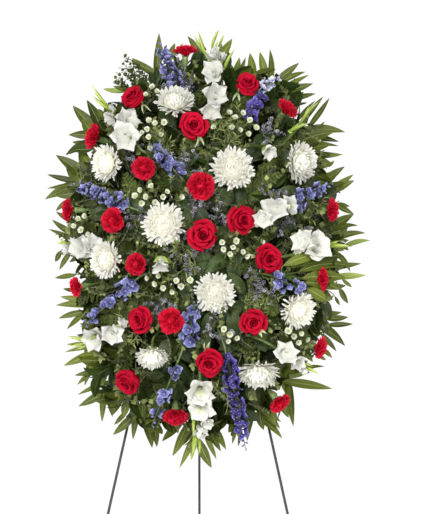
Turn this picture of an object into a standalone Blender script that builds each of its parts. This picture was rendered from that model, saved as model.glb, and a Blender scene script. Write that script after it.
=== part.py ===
"""Standing funeral arrangement: an oval spray of cut flowers in a caged foam block,
hung on a three-leg wire easel whose rear leg folds.

Metres, +Z up. The spray faces -Y, the rear leg runs back towards +Y. The floor is
z = 0 and the origin is under the middle of the whole thing.
"""

import math

import bmesh
import bpy
import numpy as np
from mathutils import Matrix, Vector

# ---------------------------------------------------------------- easel
EASEL_X = -0.018  # the easel stands a little left of the spray's middle
Y_SHIFT = 0.020  # pivot axis, so that the origin is under the middle
APEX_Z = 1.330  # height of the pivot axis
FRONT_LEAN = math.radians(12.7)
REAR_LEAN = math.radians(15.5)
ROD_R = 0.003
FOOT_HALF_SPAN = 0.293
TOE = 0.012  # short upright end of each leg
EYE_R = 0.0072  # centreline of the eye bent at the top of each leg
EYE_SIDE = 0.008  # front eyes sit either side of the rear one
EYE_END_DEG = 245
PIN_R, PIN_HEAD_R = 0.0035, 0.0058
PIN_HALF, PIN_SHOULDER = 0.0140, 0.0117

# ---------------------------------------------------------------- holder
# a, h, f: across, up the leg plane from the pivot, forward of it
HOLD_TOP, HOLD_CELL, HOLD_ROWS = -0.081, 0.092, 5
FOAM_HALF, FOAM_BACK, FOAM_FRONT = 0.0555, 0.0160, 0.1000
FOAM_CHAMFER = 0.003
TRAY_HALF, TRAY_BACK, TRAY_FRONT, TRAY_WALL = 0.0578, 0.0137, 0.0300, 0.0018
CAGE_WALL, CAGE_GAP, CAGE_BACK = 0.003, 0.0007, 0.0305
BAR = 0.003
HANGER_H, HANGER_R, HANGER_HALF = -0.174, 0.0025, 0.0662
BINDING_R, BINDING_HALF = 0.001, 0.0725
COLLAR_F, COLLAR_THICK = 0.0140, 0.0030
COLLAR_HOLE_A, COLLAR_HOLE_H = 0.100, 0.315

# ---------------------------------------------------------------- flowers
STEM_R = 0.0025
HOLE_R = 0.0036
PLANT_DEPTH = 0.015  # how far a stem is pushed into the foam
HOLE_DEPTH = 0.0165
STUB = 0.015  # straight run outside the foam
SIDES_RES = 2  # eight-sided sections
FREE = 4  # free points of a stem
GAP = 0.0012
# Positions are those of a front elevation at FACE_Y, seen from SIGHT in front of it.
FACE_Y, SIGHT, EYE_X, EYE_Z = -0.120, 4.0, 0.015, 1.010
DOME_RIM, DOME_RISE = 0.100, 0.190
DOME_A, DOME_H, DOME_Z = 0.372, 0.505, 1.033

# across mm, height mm, diameter mm, turn off straight ahead, clock of that turn (0 right, 90 up)
ROSES = (
    (-170, 1380, 57, 45, 135), (-28, 1314, 68, 10, 90), (97, 1410, 57, 30, 90),
    (-7, 1061, 71, 0, 0), (85, 1095, 67, 25, 0), (145, 1005, 67, 20, 0),
    (108, 860, 62, 10, 315), (7, 764, 62, 15, 270), (-154, 865, 64, 30, 180),
    (-182, 720, 62, 45, 225),
)
CARNATIONS = (
    (-48, 1484, 55, 80, 90), (-260, 1288, 60, 68, 160), (-143, 1215, 55, 15, 180),
    (-11, 1173, 64, 3, 0), (189, 1348, 53, 60, 45), (-214, 1095, 60, 35, 180),
    (-317, 1118, 55, 78, 180), (-168, 994, 53, 30, 180), (-299, 941, 46, 60, 190),
    (-80, 863, 60, 18, 200), (-69, 644, 57, 55, 270), (290, 1118, 53, 70, 0),
    (267, 959, 53, 78, 0), (262, 801, 53, 68, 345), (169, 674, 55, 62, 310),
)
MUMS = (
    (-70, 1369, 92, 45, 90), (61, 1214, 99, 5, 90), (219, 1228, 97, 50, 0),
    (-230, 1226, 87, 45, 180), (-98, 1086, 97, 5, 90), (-228, 1005, 85, 40, 180),
    (21, 926, 92, 5, 270), (214, 886, 85, 35, 330), (-124, 780, 76, 58, 270),
    (122, 741, 92, 56, 270),
)
# lowest floret across, height, tip across, height, all mm
GLADIOLI = (
    (16, 1330, 39, 1532), (-156, 1265, -271, 1408), (-230, 1008, -343, 1054),
    (-189, 851, -327, 824), (-16, 732, -18, 543), (152, 805, 267, 741),
    (184, 1012, 340, 1035), (182, 1279, 276, 1385),
)
DELPHINIUMS = (
    (-67, 1394, -106, 1504), (-60, 1196, -129, 1272), (-184, 1127, -313, 1182),
    (-161, 955, -285, 847), (-64, 768, -124, 621), (46, 787, 92, 562),
    (193, 1127, 290, 1182),
)
# tips of the palm leaflets round the outline, clockwise from the top left, mm
LEAF_TIPS = (
    (-108, 1523), (-30, 1500), (46, 1514), (78, 1470), (101, 1477), (124, 1482),
    (145, 1488), (214, 1456), (235, 1429), (251, 1385), (283, 1378), (320, 1298),
    (306, 1265), (313, 1217), (340, 1187), (338, 1109), (347, 1081), (366, 1065),
    (372, 1049), (361, 994), (366, 969), (336, 941), (324, 904), (311, 884),
    (336, 858), (322, 803), (299, 792), (278, 775), (290, 706), (236, 655),
    (202, 621), (175, 596), (128, 585), (83, 564), (46, 566), (12, 527),
    (-34, 543), (-62, 527), (-101, 584), (-124, 571), (-168, 590), (-214, 601),
    (-239, 633), (-292, 667), (-297, 716), (-327, 759), (-324, 792), (-320, 847),
    (-345, 900), (-329, 936), (-347, 964), (-347, 1003), (-361, 1074), (-347, 1116),
    (-373, 1143), (-366, 1169), (-366, 1201), (-345, 1245), (-317, 1293),
    (-304, 1357), (-274, 1371), (-239, 1399), (-200, 1440), (-150, 1475),
)
NOTCH = 0.86  # how far out the outline dips between two leaflets

# Head outlines: distance along the axis and radius, both in head radii.
ROSE_SHAPE = ((-1.08, 0.26), (-0.62, 0.62), (-0.15, 0.92), (0.28, 0.93), (0.62, 0.76), (0.80, 0.38))
CARNATION_SHAPE = ((-1.45, 0.20), (-0.62, 0.30), (-0.34, 0.84), (0.00, 0.95), (0.34, 0.80), (0.56, 0.36))
MUM_SHAPE = ((-0.62, 0.14), (-0.36, 0.66), (-0.10, 0.92), (0.16, 0.90), (0.42, 0.62), (0.56, 0.26))
# Spike outlines: part of the length and radius in metres.
GLADIOLUS_SHAPE = ((0.00, 0.010), (0.08, 0.022), (0.40, 0.025), (0.62, 0.017), (0.82, 0.009), (1.00, 0.004))
DELPHINIUM_SHAPE = ((0.00, 0.007), (0.12, 0.015), (0.50, 0.016), (0.78, 0.010), (1.00, 0.004))

# ---------------------------------------------------------------- frame of the leg plane
PIVOT = np.array((EASEL_X, Y_SHIFT, APEX_Z))
ACROSS = np.array((1.0, 0.0, 0.0))
UPWARD = np.array((0.0, math.sin(FRONT_LEAN), math.cos(FRONT_LEAN)))
FORWARD = np.array((0.0, -math.cos(FRONT_LEAN), math.sin(FRONT_LEAN)))
LEG_PLANE = Matrix(
    (
        (ACROSS[0], UPWARD[0], FORWARD[0], PIVOT[0]),
        (ACROSS[1], UPWARD[1], FORWARD[1], PIVOT[1]),
        (ACROSS[2], UPWARD[2], FORWARD[2], PIVOT[2]),
        (0, 0, 0, 1),
    )
)


def plane_point(a, h, f):
    return PIVOT + a * ACROSS + h * UPWARD + f * FORWARD


def plane_coords(point):
    d = np.asarray(point) - PIVOT
    return np.stack((d @ ACROSS, d @ UPWARD, d @ FORWARD), axis=-1)


def on_sight_line(x, z, f):
    """The point that stands at (x, z) in the front elevation and f forward of the pivot."""
    eye = np.array((EYE_X, Y_SHIFT + FACE_Y - SIGHT, EYE_Z))
    ray = np.array((x, Y_SHIFT + FACE_Y, z)) - eye
    t = (f - (eye - PIVOT) @ FORWARD) / (ray @ FORWARD)
    return eye + t * ray


def dome(x, z):
    rho = math.hypot(x / DOME_A, (z - DOME_Z) / DOME_H)
    return DOME_RIM + DOME_RISE * math.sqrt(max(0.0, 1 - rho * rho))


# ---------------------------------------------------------------- scene helpers
for existing in list(bpy.data.objects):
    bpy.data.objects.remove(existing, do_unlink=True)

PARTS = bpy.data.collections.new("standing_funeral_arrangement")
CUTTERS = bpy.data.collections.new("cutters")
CUTTERS.hide_render = True
bpy.context.scene.collection.children.link(PARTS)
bpy.context.scene.collection.children.link(CUTTERS)


def add(name, data, colour, roughness, metallic=0.0, matrix=None):
    obj = bpy.data.objects.new(name, data)
    if matrix is not None:
        obj.matrix_world = matrix
    PARTS.objects.link(obj)
    material = bpy.data.materials.new(name)
    material.use_nodes = True
    shader = material.node_tree.nodes["Principled BSDF"]
    shader.inputs["Base Color"].default_value = (*colour, 1)
    shader.inputs["Roughness"].default_value = roughness
    shader.inputs["Metallic"].default_value = metallic
    data.materials.append(material)
    return obj


def add_cutter(name, mesh):
    obj = bpy.data.objects.new(name, mesh)
    obj.matrix_world = LEG_PLANE
    obj.display_type = "WIRE"
    obj.hide_render = True
    CUTTERS.objects.link(obj)
    return obj


def boolean(obj, cutter, operation="DIFFERENCE"):
    modifier = obj.modifiers.new(operation.lower(), "BOOLEAN")
    modifier.operation = operation
    modifier.solver = "EXACT"
    modifier.object = cutter


def boxes(name, spans):
    """One mesh of separate boxes, each (a0, a1, h0, h1, f0, f1)."""
    bm = bmesh.new()
    for a0, a1, h0, h1, f0, f1 in spans:
        middle = Matrix.Translation(((a0 + a1) / 2, (h0 + h1) / 2, (f0 + f1) / 2))
        bmesh.ops.create_cube(bm, size=1, matrix=middle @ Matrix.Diagonal((a1 - a0, h1 - h0, f1 - f0, 1)))
    mesh = bpy.data.meshes.new(name)
    bm.to_mesh(mesh)
    bm.free()
    return mesh


def prisms(name, axes, radius, sides=8):
    """One mesh of separate round bars, each from start to end."""
    bm = bmesh.new()
    for start, end in axes:
        start, end = Vector(start), Vector(end)
        turn = (end - start).to_track_quat("Z", "Y").to_matrix().to_4x4()
        bmesh.ops.create_cone(
            bm, cap_ends=True, segments=sides, radius1=radius, radius2=radius,
            depth=(end - start).length, matrix=Matrix.Translation((start + end) / 2) @ turn,
        )
    mesh = bpy.data.meshes.new(name)
    bm.to_mesh(mesh)
    bm.free()
    return mesh


def tube(name, points, radii, colour, roughness, metallic=0.0, cyclic=False, matrix=None, origin=(0, 0, 0)):
    """A curve with a round bevel, radius given at each point. Its object stands at origin."""
    curve = bpy.data.curves.new(name, "CURVE")
    curve.dimensions = "3D"
    curve.bevel_depth = 0.001
    curve.bevel_resolution = SIDES_RES
    curve.use_fill_caps = not cyclic
    spline = curve.splines.new("POLY")
    spline.points.add(len(points) - 1)
    for spot, point, radius in zip(spline.points, points, radii):
        spot.co = (*(np.asarray(point, float) - origin), 1)
        spot.radius = radius / 0.001
    spline.use_cyclic_u = cyclic
    return add(name, curve, colour, roughness, metallic, matrix or Matrix.Translation(origin))


# ---------------------------------------------------------------- easel
BLACK = (0.012, 0.016, 0.014)


def eye(centre, outward, upward):
    """A bent eye round the pivot: it starts on the outward side and goes over the top."""
    steps = [math.radians(EYE_END_DEG * k / 8) for k in range(9)]
    return [centre + EYE_R * (math.cos(t) * outward + math.sin(t) * upward) for t in steps]


def front_leg(name, side):
    centre = PIVOT + side * EYE_SIDE * ACROSS
    ring = eye(centre, FORWARD, UPWARD)
    plane_foot = PIVOT + EYE_R * FORWARD
    run = (plane_foot[2] - TOE) / UPWARD[2]
    foot = plane_foot - run * UPWARD + side * FOOT_HALF_SPAN * ACROSS
    start = np.array((foot[0], foot[1], 0.0))
    neck = ring[0] + (side * 0.0012) * ACROSS - 0.012 * UPWARD
    lower = ring[0] + (side * 0.0075) * ACROSS - 0.040 * UPWARD
    points = [start, foot, lower, neck, *ring]
    return tube(name, points, [ROD_R] * len(points), BLACK, 0.35, origin=PIVOT)


def rear_leg(name):
    upward = np.array((0.0, -math.sin(REAR_LEAN), math.cos(REAR_LEAN)))
    outward = np.array((0.0, math.cos(REAR_LEAN), math.sin(REAR_LEAN)))
    ring = eye(PIVOT, outward, upward)
    run = (ring[0][2] - TOE) / upward[2]
    foot = ring[0] - run * upward
    start = np.array((foot[0], foot[1], 0.0))
    points = [start, foot, ring[0] - 0.5 * run * upward, *ring]
    return tube(name, points, [ROD_R] * len(points), BLACK, 0.35, origin=PIVOT)


front_leg("front_leg_left", -1)
front_leg("front_leg_right", 1)
rear_leg("rear_leg")

# The pin is turned about its own length.
pin = bpy.data.meshes.new("pivot_pin")
profile = [
    (0, -PIN_HALF), (PIN_HEAD_R, -PIN_HALF + 0.0006), (PIN_HEAD_R, -PIN_SHOULDER), (PIN_R, -PIN_SHOULDER),
    (PIN_R, PIN_SHOULDER), (PIN_HEAD_R, PIN_SHOULDER), (PIN_HEAD_R, PIN_HALF - 0.0006), (0, PIN_HALF),
]
pin.from_pydata([(r, 0, z) for r, z in profile], [(k, k + 1) for k in range(len(profile) - 1)], [])
pin_object = add("pivot_pin", pin, (0.45, 0.46, 0.47), 0.3, 1.0, Matrix.Translation(PIVOT) @ Matrix.Rotation(math.pi / 2, 4, "Y"))
screw = pin_object.modifiers.new("turn", "SCREW")
screw.axis = "Z"
screw.steps = screw.render_steps = 16
screw.use_merge_vertices = True
screw.merge_threshold = 0.00001
screw.use_normal_calculate = True

# ---------------------------------------------------------------- holder
hold_bottom = HOLD_TOP - HOLD_ROWS * HOLD_CELL
cell_edges = [HOLD_TOP - k * HOLD_CELL for k in range(1, HOLD_ROWS)]

tray = add("cage_tray", boxes("cage_tray", [(-TRAY_HALF, TRAY_HALF, hold_bottom - 0.0024, HOLD_TOP + 0.0024, TRAY_BACK, TRAY_FRONT)]), (0.02, 0.10, 0.04), 0.45, 0.0, LEG_PLANE)
inner = TRAY_HALF - TRAY_WALL
boolean(tray, add_cutter("tray_inside", boxes("tray_inside", [(-inner, inner, hold_bottom - 0.0006, HOLD_TOP + 0.0006, TRAY_BACK + TRAY_WALL, 0.05)])))
ear_low = HANGER_H + HANGER_R + 0.0004
boolean(tray, add_cutter("tray_ears", boxes("tray_ears", [(-0.0700, 0.0700, ear_low, ear_low + 0.016, TRAY_BACK - 0.0004, TRAY_BACK + TRAY_WALL - 0.0003)])), "UNION")

cage_in = FOAM_HALF + CAGE_GAP
cage_out = cage_in + CAGE_WALL
cage_front_in, cage_front = FOAM_FRONT + CAGE_GAP, FOAM_FRONT + CAGE_GAP + CAGE_WALL
cage_top = HOLD_TOP + CAGE_GAP + CAGE_WALL
cage_bottom = hold_bottom - CAGE_GAP - CAGE_WALL
cage = add("cage_grid", boxes("cage_grid", [(-cage_out, cage_out, cage_bottom, cage_top, CAGE_BACK, cage_front)]), (0.02, 0.10, 0.04), 0.45, 0.0, LEG_PLANE)
boolean(cage, add_cutter("cage_inside", boxes("cage_inside", [(-cage_in, cage_in, hold_bottom - CAGE_GAP, HOLD_TOP + CAGE_GAP, 0.02, cage_front_in)])))
rows = [(HOLD_TOP - (k + 1) * HOLD_CELL + BAR / 2, HOLD_TOP - k * HOLD_CELL - BAR / 2) for k in range(HOLD_ROWS)]
front_cells = [(a0, a1, h0, h1, cage_front_in - 0.004, 0.12) for h0, h1 in rows for a0, a1 in ((-cage_in + BAR / 2, -BAR / 2), (BAR / 2, cage_in - BAR / 2))]
side_cells = [(-0.1, 0.1, h0, h1, CAGE_BACK + BAR, cage_front_in - BAR) for h0, h1 in rows]
end_cells = [(a0, a1, -0.7, 0.0, CAGE_BACK + BAR, cage_front_in - BAR) for a0, a1 in ((-cage_in + BAR, -BAR / 2), (BAR / 2, cage_in - BAR))]
boolean(cage, add_cutter("front_windows", boxes("front_windows", front_cells)))
boolean(cage, add_cutter("side_windows", boxes("side_windows", side_cells)))
boolean(cage, add_cutter("end_windows", boxes("end_windows", end_cells)))

hanger = [
    (-HANGER_HALF, HANGER_H, 0.0300), (-HANGER_HALF, HANGER_H, 0.0060), (-HANGER_HALF + 0.0045, HANGER_H, 0.0010),
    (HANGER_HALF - 0.0045, HANGER_H, 0.0010), (HANGER_HALF, HANGER_H, 0.0060), (HANGER_HALF, HANGER_H, 0.0300),
]
tube("crossbar_hanger", hanger, [HANGER_R] * 6, BLACK, 0.35, 0.0, matrix=LEG_PLANE)

loop_h = cell_edges[1]
back_f, front_f = 0.0022, cage_front + 0.0018
corner = 0.006
loop = [
    (-BINDING_HALF + corner, loop_h, back_f), (BINDING_HALF - corner, loop_h, back_f), (BINDING_HALF, loop_h, back_f + corner),
    (BINDING_HALF, loop_h, front_f - corner), (BINDING_HALF - corner, loop_h, front_f), (-BINDING_HALF + corner, loop_h, front_f),
    (-BINDING_HALF, loop_h, front_f - corner), (-BINDING_HALF, loop_h, back_f + corner),
]
tube("binding_wire", loop, [BINDING_R] * 8, (0.05, 0.09, 0.04), 0.4, 0.6, cyclic=True, matrix=LEG_PLANE)


# ---------------------------------------------------------------- where stems can be planted
def planting_slots():
    """(point on the foam face, outward direction), in leg-plane coordinates."""
    found = []
    levels = [HOLD_TOP - HOLD_CELL * (k // 2) - (0.023 if k % 2 == 0 else 0.069) for k in range(2 * HOLD_ROWS)]
    for h in levels:
        found += [((a, h, FOAM_FRONT), (0, 0, 1)) for a in (-0.0415, -0.0145, 0.0145, 0.0415)]
        found += [((side * FOAM_HALF, h, f), (side, 0, 0)) for side in (-1, 1) for f in (0.045, 0.072)]
    for h, way in ((HOLD_TOP, 1), (hold_bottom, -1)):
        found += [((a, h, f), (0, way, 0)) for a in (-0.029, 0.029) for f in (0.044, 0.072)]
    return [(np.array(p, float), np.array(d, float)) for p, d in found]


def facing(off, clock):
    off, clock = math.radians(off), math.radians(clock)
    return np.array((math.sin(off) * math.cos(clock), -math.cos(off), math.sin(off) * math.sin(clock)))


def flower_list():
    """Each flower's name, colour and the points and radii of its head at its own place."""
    found = []
    for kind, rows_, shape, colour in (
        ("rose", ROSES, ROSE_SHAPE, (0.42, 0.004, 0.015)),
        ("mum", MUMS, MUM_SHAPE, (0.82, 0.80, 0.68)),
        ("carnation", CARNATIONS, CARNATION_SHAPE, (0.50, 0.006, 0.02)),
    ):
        for number, (x, z, width, off, clock) in enumerate(rows_, 1):
            x, z, radius = x / 1000, z / 1000, width / 2000
            centre = on_sight_line(x, z, dome(x, z))
            way = facing(off, clock)
            points = np.array([centre + s * radius * way for s, _ in shape])
            found.append((f"{kind}_{number:02d}", colour, points, np.array([radius * r for _, r in shape]), way))
    for kind, rows_, shape, colour in (
        ("gladiolus", GLADIOLI, GLADIOLUS_SHAPE, (0.80, 0.80, 0.70)),
        ("delphinium", DELPHINIUMS, DELPHINIUM_SHAPE, (0.14, 0.14, 0.55)),
    ):
        for number, row in enumerate(rows_, 1):
            x0, z0, x1, z1 = (value / 1000 for value in row)
            low = on_sight_line(x0, z0, dome(x0, z0) - 0.012)
            high = on_sight_line(x1, z1, dome(x1, z1) + 0.010)
            way = (high - low) / np.linalg.norm(high - low)
            points = np.array([low + t * (high - low) for t, _ in shape])
            found.append((f"{kind}_{number:02d}", colour, points, np.array([r for _, r in shape]), way))
    return found


# ---------------------------------------------------------------- keeping flowers apart
def closest(p1, q1, p2, q2):
    """Closest points of segment pairs: their places along each, and the vector between them."""
    d1, d2, r = q1 - p1, q2 - p2, p1 - p2
    a = (d1 * d1).sum(-1)
    e = (d2 * d2).sum(-1)
    f = (d2 * r).sum(-1)
    c = (d1 * r).sum(-1)
    b = (d1 * d2).sum(-1)
    s = np.clip((b * f - c * e) / np.maximum(a * e - b * b, 1e-12), 0, 1)
    t = (b * s + f) / np.maximum(e, 1e-12)
    t = np.clip(t, 0, 1)
    s = np.clip((b * t - c) / np.maximum(a, 1e-12), 0, 1)
    return s, t, (p1 + d1 * s[..., None]) - (p2 + d2 * t[..., None])


def part_heads(flowers, rounds=120):
    """Moves heads that meet, mostly forwards and backwards, until they are clear."""
    moved = np.zeros((len(flowers), 3))
    ease = np.array((0.25, 1.0, 0.25))
    reach = [np.linalg.norm(p - p.mean(0), axis=1).max() + r.max() for _, _, p, r, _ in flowers]
    for _ in range(rounds):
        push = np.zeros_like(moved)
        for i in range(len(flowers)):
            for j in range(i + 1, len(flowers)):
                a, ra = flowers[i][2] + moved[i], flowers[i][3]
                b, rb = flowers[j][2] + moved[j], flowers[j][3]
                if np.linalg.norm(a.mean(0) - b.mean(0)) > reach[i] + reach[j] + GAP:
                    continue
                s, t, apart = closest(a[:-1, None], a[1:, None], b[None, :-1], b[None, 1:])
                need = (ra[:-1, None] * (1 - s) + ra[1:, None] * s) + (rb[None, :-1] * (1 - t) + rb[None, 1:] * t) + 2 * GAP
                gap = np.linalg.norm(apart, axis=-1)
                short = need - gap
                k = np.unravel_index(np.argmax(short), short.shape)
                if short[k] <= 0:
                    continue
                way = apart[k] / max(gap[k], 1e-6) * ease
                if np.linalg.norm(way) < 0.3:
                    way = np.array((0.0, -1.0 if a.mean(0)[1] < b.mean(0)[1] else 1.0, 0.0))
                way /= np.linalg.norm(way)
                push[i] += 0.5 * short[k] * way
                push[j] -= 0.5 * short[k] * way
        moved += push
        if np.abs(push).max() < 1e-5:
            break
    return moved


def choose_slots(bases, slots):
    """Gives every flower a planting slot of its own, so that the stems fan out without crossing."""
    exits = np.array([p + d * 0.05 for p, d in slots])
    cost = ((bases[:, None] - exits[None]) ** 2).sum(-1)
    taken = {}
    for i in np.argsort(-cost.min(1)):
        order = np.argsort(cost[i])
        taken[int(i)] = int(next(k for k in order if k not in taken.values()))
    chosen = [taken[i] for i in range(len(bases))]
    better = True
    while better:
        better = False
        for i in range(len(chosen)):
            for k in range(len(slots)):
                if k in chosen:
                    j = chosen.index(k)
                    if j != i and cost[i, k] + cost[j, chosen[i]] < cost[i, chosen[i]] + cost[j, k] - 1e-9:
                        chosen[i], chosen[j] = chosen[j], chosen[i]
                        better = True
                elif cost[i, k] < cost[i, chosen[i]] - 1e-9:
                    chosen[i] = k
                    better = True
    return chosen


def stem_paths(flowers, slots, chosen):
    """For each flower: planted end, stub, free points, lead-in, as world points."""
    paths = []
    for (_, _, points, _, way), k in zip(flowers, chosen):
        p, d = slots[k]
        inside = plane_point(*(p - d * PLANT_DEPTH))
        stub = plane_point(*(p + d * STUB))
        out = (stub - inside) / np.linalg.norm(stub - inside)
        lead = points[0] - 0.014 * way
        span = np.linalg.norm(lead - stub)
        c1 = stub + out * 0.40 * span
        c2 = lead - way * 0.30 * span
        free = []
        for n in range(1, FREE + 1):
            t = n / (FREE + 1)
            free.append((1 - t) ** 3 * stub + 3 * t * (1 - t) ** 2 * c1 + 3 * t * t * (1 - t) * c2 + t ** 3 * lead)
        paths.append(np.array([inside, stub, *free, lead]))
    return paths


def part_stems(flowers, paths, rounds=260):
    """Bends the free points of the stems until no stem meets another stem, a head or the holder."""
    count = len(flowers)
    chains = [np.vstack((path, flower[2])) for path, flower in zip(paths, flowers)]
    radii = [np.concatenate((np.full(len(path), STEM_R), flower[3])) for path, flower in zip(paths, flowers)]
    size = len(paths[0])
    owner, index = [], []
    for i in range(count):
        for k in range(len(chains[i]) - 1):
            owner.append(i)
            index.append(k)
    owner, index = np.array(owner), np.array(index)
    starts = np.concatenate(([0], np.cumsum([len(c) for c in chains])))[:-1]
    first = starts[owner] + index
    r = np.concatenate(radii)
    points = np.concatenate(chains)
    local = np.concatenate([np.arange(len(c)) for c in chains])
    free = (local >= 2) & (local < 2 + FREE)
    movable = free[first] | free[first + 1]
    rows_ = np.where(movable)[0]
    for _ in range(rounds):
        p, q = points[first], points[first + 1]
        s, t, apart = closest(p[rows_, None], q[rows_, None], p[None], q[None])
        ra = r[first][rows_, None] * (1 - s) + r[first + 1][rows_, None] * s
        rb = r[first][None] * (1 - t) + r[first + 1][None] * t
        gap = np.linalg.norm(apart, axis=-1)
        short = ra + rb + GAP - gap
        short[owner[rows_, None] == owner[None]] = 0
        a, b = np.where(short > 0)
        push = np.zeros_like(points)
        weight = np.zeros(len(points))
        if len(a):
            way = apart[a, b] / np.maximum(gap[a, b], 1e-6)[:, None]
            step = way * short[a, b][:, None] * 0.7
            for end, share in ((first[rows_[a]], 1 - s[a, b]), (first[rows_[a]] + 1, s[a, b])):
                np.add.at(push, end, step * share[:, None])
                np.add.at(weight, end, share)
        push /= np.maximum(weight, 1.0)[:, None]
        moved = points + push * free[:, None] * 1.5
        # holder and collar
        abc = plane_coords(moved)
        room = 0.006
        inside = free & (np.abs(abc[:, 0]) < cage_out + room) & (abc[:, 1] < cage_top + room) & (abc[:, 1] > cage_bottom - room) & (abc[:, 2] < cage_front + room)
        for k in np.where(inside)[0]:
            outs = (cage_out + room - abs(abc[k, 0]), cage_top + room - abc[k, 1], abc[k, 1] - cage_bottom + room, cage_front + room - abc[k, 2])
            which = int(np.argmin(outs))
            side = 1 if abc[k, 0] > 0 else -1
            moved[k] += outs[which] * ((side * ACROSS), UPWARD, -UPWARD, FORWARD)[which]
        low = free & (abc[:, 2] < COLLAR_F + COLLAR_THICK + STEM_R + 0.003)
        moved[low] += (COLLAR_F + COLLAR_THICK + STEM_R + 0.003 - abc[low, 2])[:, None] * FORWARD
        # keeps the stems smooth
        smooth = moved.copy()
        smooth[1:-1] = 0.5 * (moved[:-2] + moved[2:])
        moved = np.where(free[:, None], 0.97 * moved + 0.03 * smooth, points)
        change = np.abs(moved - points).max()
        points = moved
        if not len(a) and change < 2e-5:
            break
    return [points[s0 : s0 + size] for s0 in starts]


flowers = flower_list()
shift = part_heads(flowers)
flowers = [(n, c, p + d, r, w) for (n, c, p, r, w), d in zip(flowers, shift)]
slots = planting_slots()
bases = np.array([plane_coords(p[0] - 0.014 * w) for _, _, p, _, w in flowers])
chosen = choose_slots(bases, slots)
paths = part_stems(flowers, stem_paths(flowers, slots, chosen))

for (name, colour, points, radii, _), path in zip(flowers, paths):
    chain = np.vstack((path, points))
    tube(name, chain, np.concatenate((np.full(len(path), STEM_R), radii)), colour, 0.55, origin=path[0])

foam = add("foam_block", boxes("foam_block", [(-FOAM_HALF, FOAM_HALF, hold_bottom, HOLD_TOP, FOAM_BACK, FOAM_FRONT)]), (0.03, 0.13, 0.05), 0.95, 0.0, LEG_PLANE)
chamfer = foam.modifiers.new("chamfer", "BEVEL")
chamfer.width = FOAM_CHAMFER
chamfer.segments = 1
holes = []
for k in chosen:
    p, d = slots[k]
    holes.append((p - d * HOLE_DEPTH, p + d * 0.003))
boolean(foam, add_cutter("stem_holes", prisms("stem_holes", holes, HOLE_R)))

# ---------------------------------------------------------------- palm collar
outline = []
tips = [plane_coords(on_sight_line(x / 1000, z / 1000, COLLAR_F))[:2] for x, z in LEAF_TIPS]
middle = plane_coords(on_sight_line(0.0, DOME_Z, COLLAR_F))[:2]
for k, tip in enumerate(tips):
    after = tips[(k + 1) % len(tips)]
    outline.append(tip)
    outline.append(middle + NOTCH * ((tip + after) / 2 - middle))
collar = bpy.data.curves.new("palm_collar", "CURVE")
collar.dimensions = "2D"
collar.fill_mode = "BOTH"
collar.extrude = COLLAR_THICK / 2
hole = []
hole_middle = (HOLD_TOP + hold_bottom) / 2
for k in range(28):
    angle = 2 * math.pi * k / 28
    hole.append((COLLAR_HOLE_A * math.cos(angle), hole_middle + COLLAR_HOLE_H * math.sin(angle)))
for ring in (outline, hole):
    spline = collar.splines.new("POLY")
    spline.points.add(len(ring) - 1)
    for spot, (a, h) in zip(spline.points, ring):
        spot.co = (a, h, 0, 1)
    spline.use_cyclic_u = True
add("palm_collar", collar, (0.06, 0.11, 0.02), 0.5, 0.0, LEG_PLANE @ Matrix.Translation((0, 0, COLLAR_F + COLLAR_THICK / 2)))
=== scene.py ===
"""Standing funeral arrangement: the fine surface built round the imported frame.

Metres, +Z up, the spray faces -Y. Every flower stands where its solid stands.
"""

import math

import bpy  # noqa: E402
import numpy as np  # noqa: E402
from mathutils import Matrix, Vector  # noqa: E402


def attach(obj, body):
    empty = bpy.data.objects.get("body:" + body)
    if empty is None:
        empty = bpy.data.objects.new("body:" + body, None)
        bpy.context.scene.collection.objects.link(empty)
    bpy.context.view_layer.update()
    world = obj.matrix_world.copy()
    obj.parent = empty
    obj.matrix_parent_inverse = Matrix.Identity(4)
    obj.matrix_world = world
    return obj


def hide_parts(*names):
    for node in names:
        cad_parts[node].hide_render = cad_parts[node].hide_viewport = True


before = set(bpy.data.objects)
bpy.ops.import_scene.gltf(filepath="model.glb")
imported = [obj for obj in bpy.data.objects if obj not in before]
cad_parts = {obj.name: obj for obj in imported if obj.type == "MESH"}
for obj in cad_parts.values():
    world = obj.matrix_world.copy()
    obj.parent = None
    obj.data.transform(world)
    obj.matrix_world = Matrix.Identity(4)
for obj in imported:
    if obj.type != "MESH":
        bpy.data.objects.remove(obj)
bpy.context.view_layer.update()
ROOT, REAR = "stand_and_spray", "rear_leg"
PI = math.pi
GOLDEN = 2.399963

# ================================================================ layout, as in the solids
EASEL_X, Y_SHIFT, APEX_Z = -0.018, 0.020, 1.330
FRONT_LEAN = math.radians(12.7)
HOLD_TOP, HOLD_CELL, HOLD_ROWS = -0.081, 0.092, 5
FOAM_HALF, FOAM_BACK, FOAM_FRONT = 0.0555, 0.0160, 0.1000
COLLAR_F = 0.0140
STEM_R, PLANT_DEPTH, STUB, GAP = 0.0025, 0.015, 0.015, 0.0012
FACE_Y, SIGHT, EYE_X, EYE_Z = -0.120, 4.0, 0.015, 1.010
DOME_RIM, DOME_RISE = 0.100, 0.190
DOME_A, DOME_H, DOME_Z = 0.372, 0.505, 1.033

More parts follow.
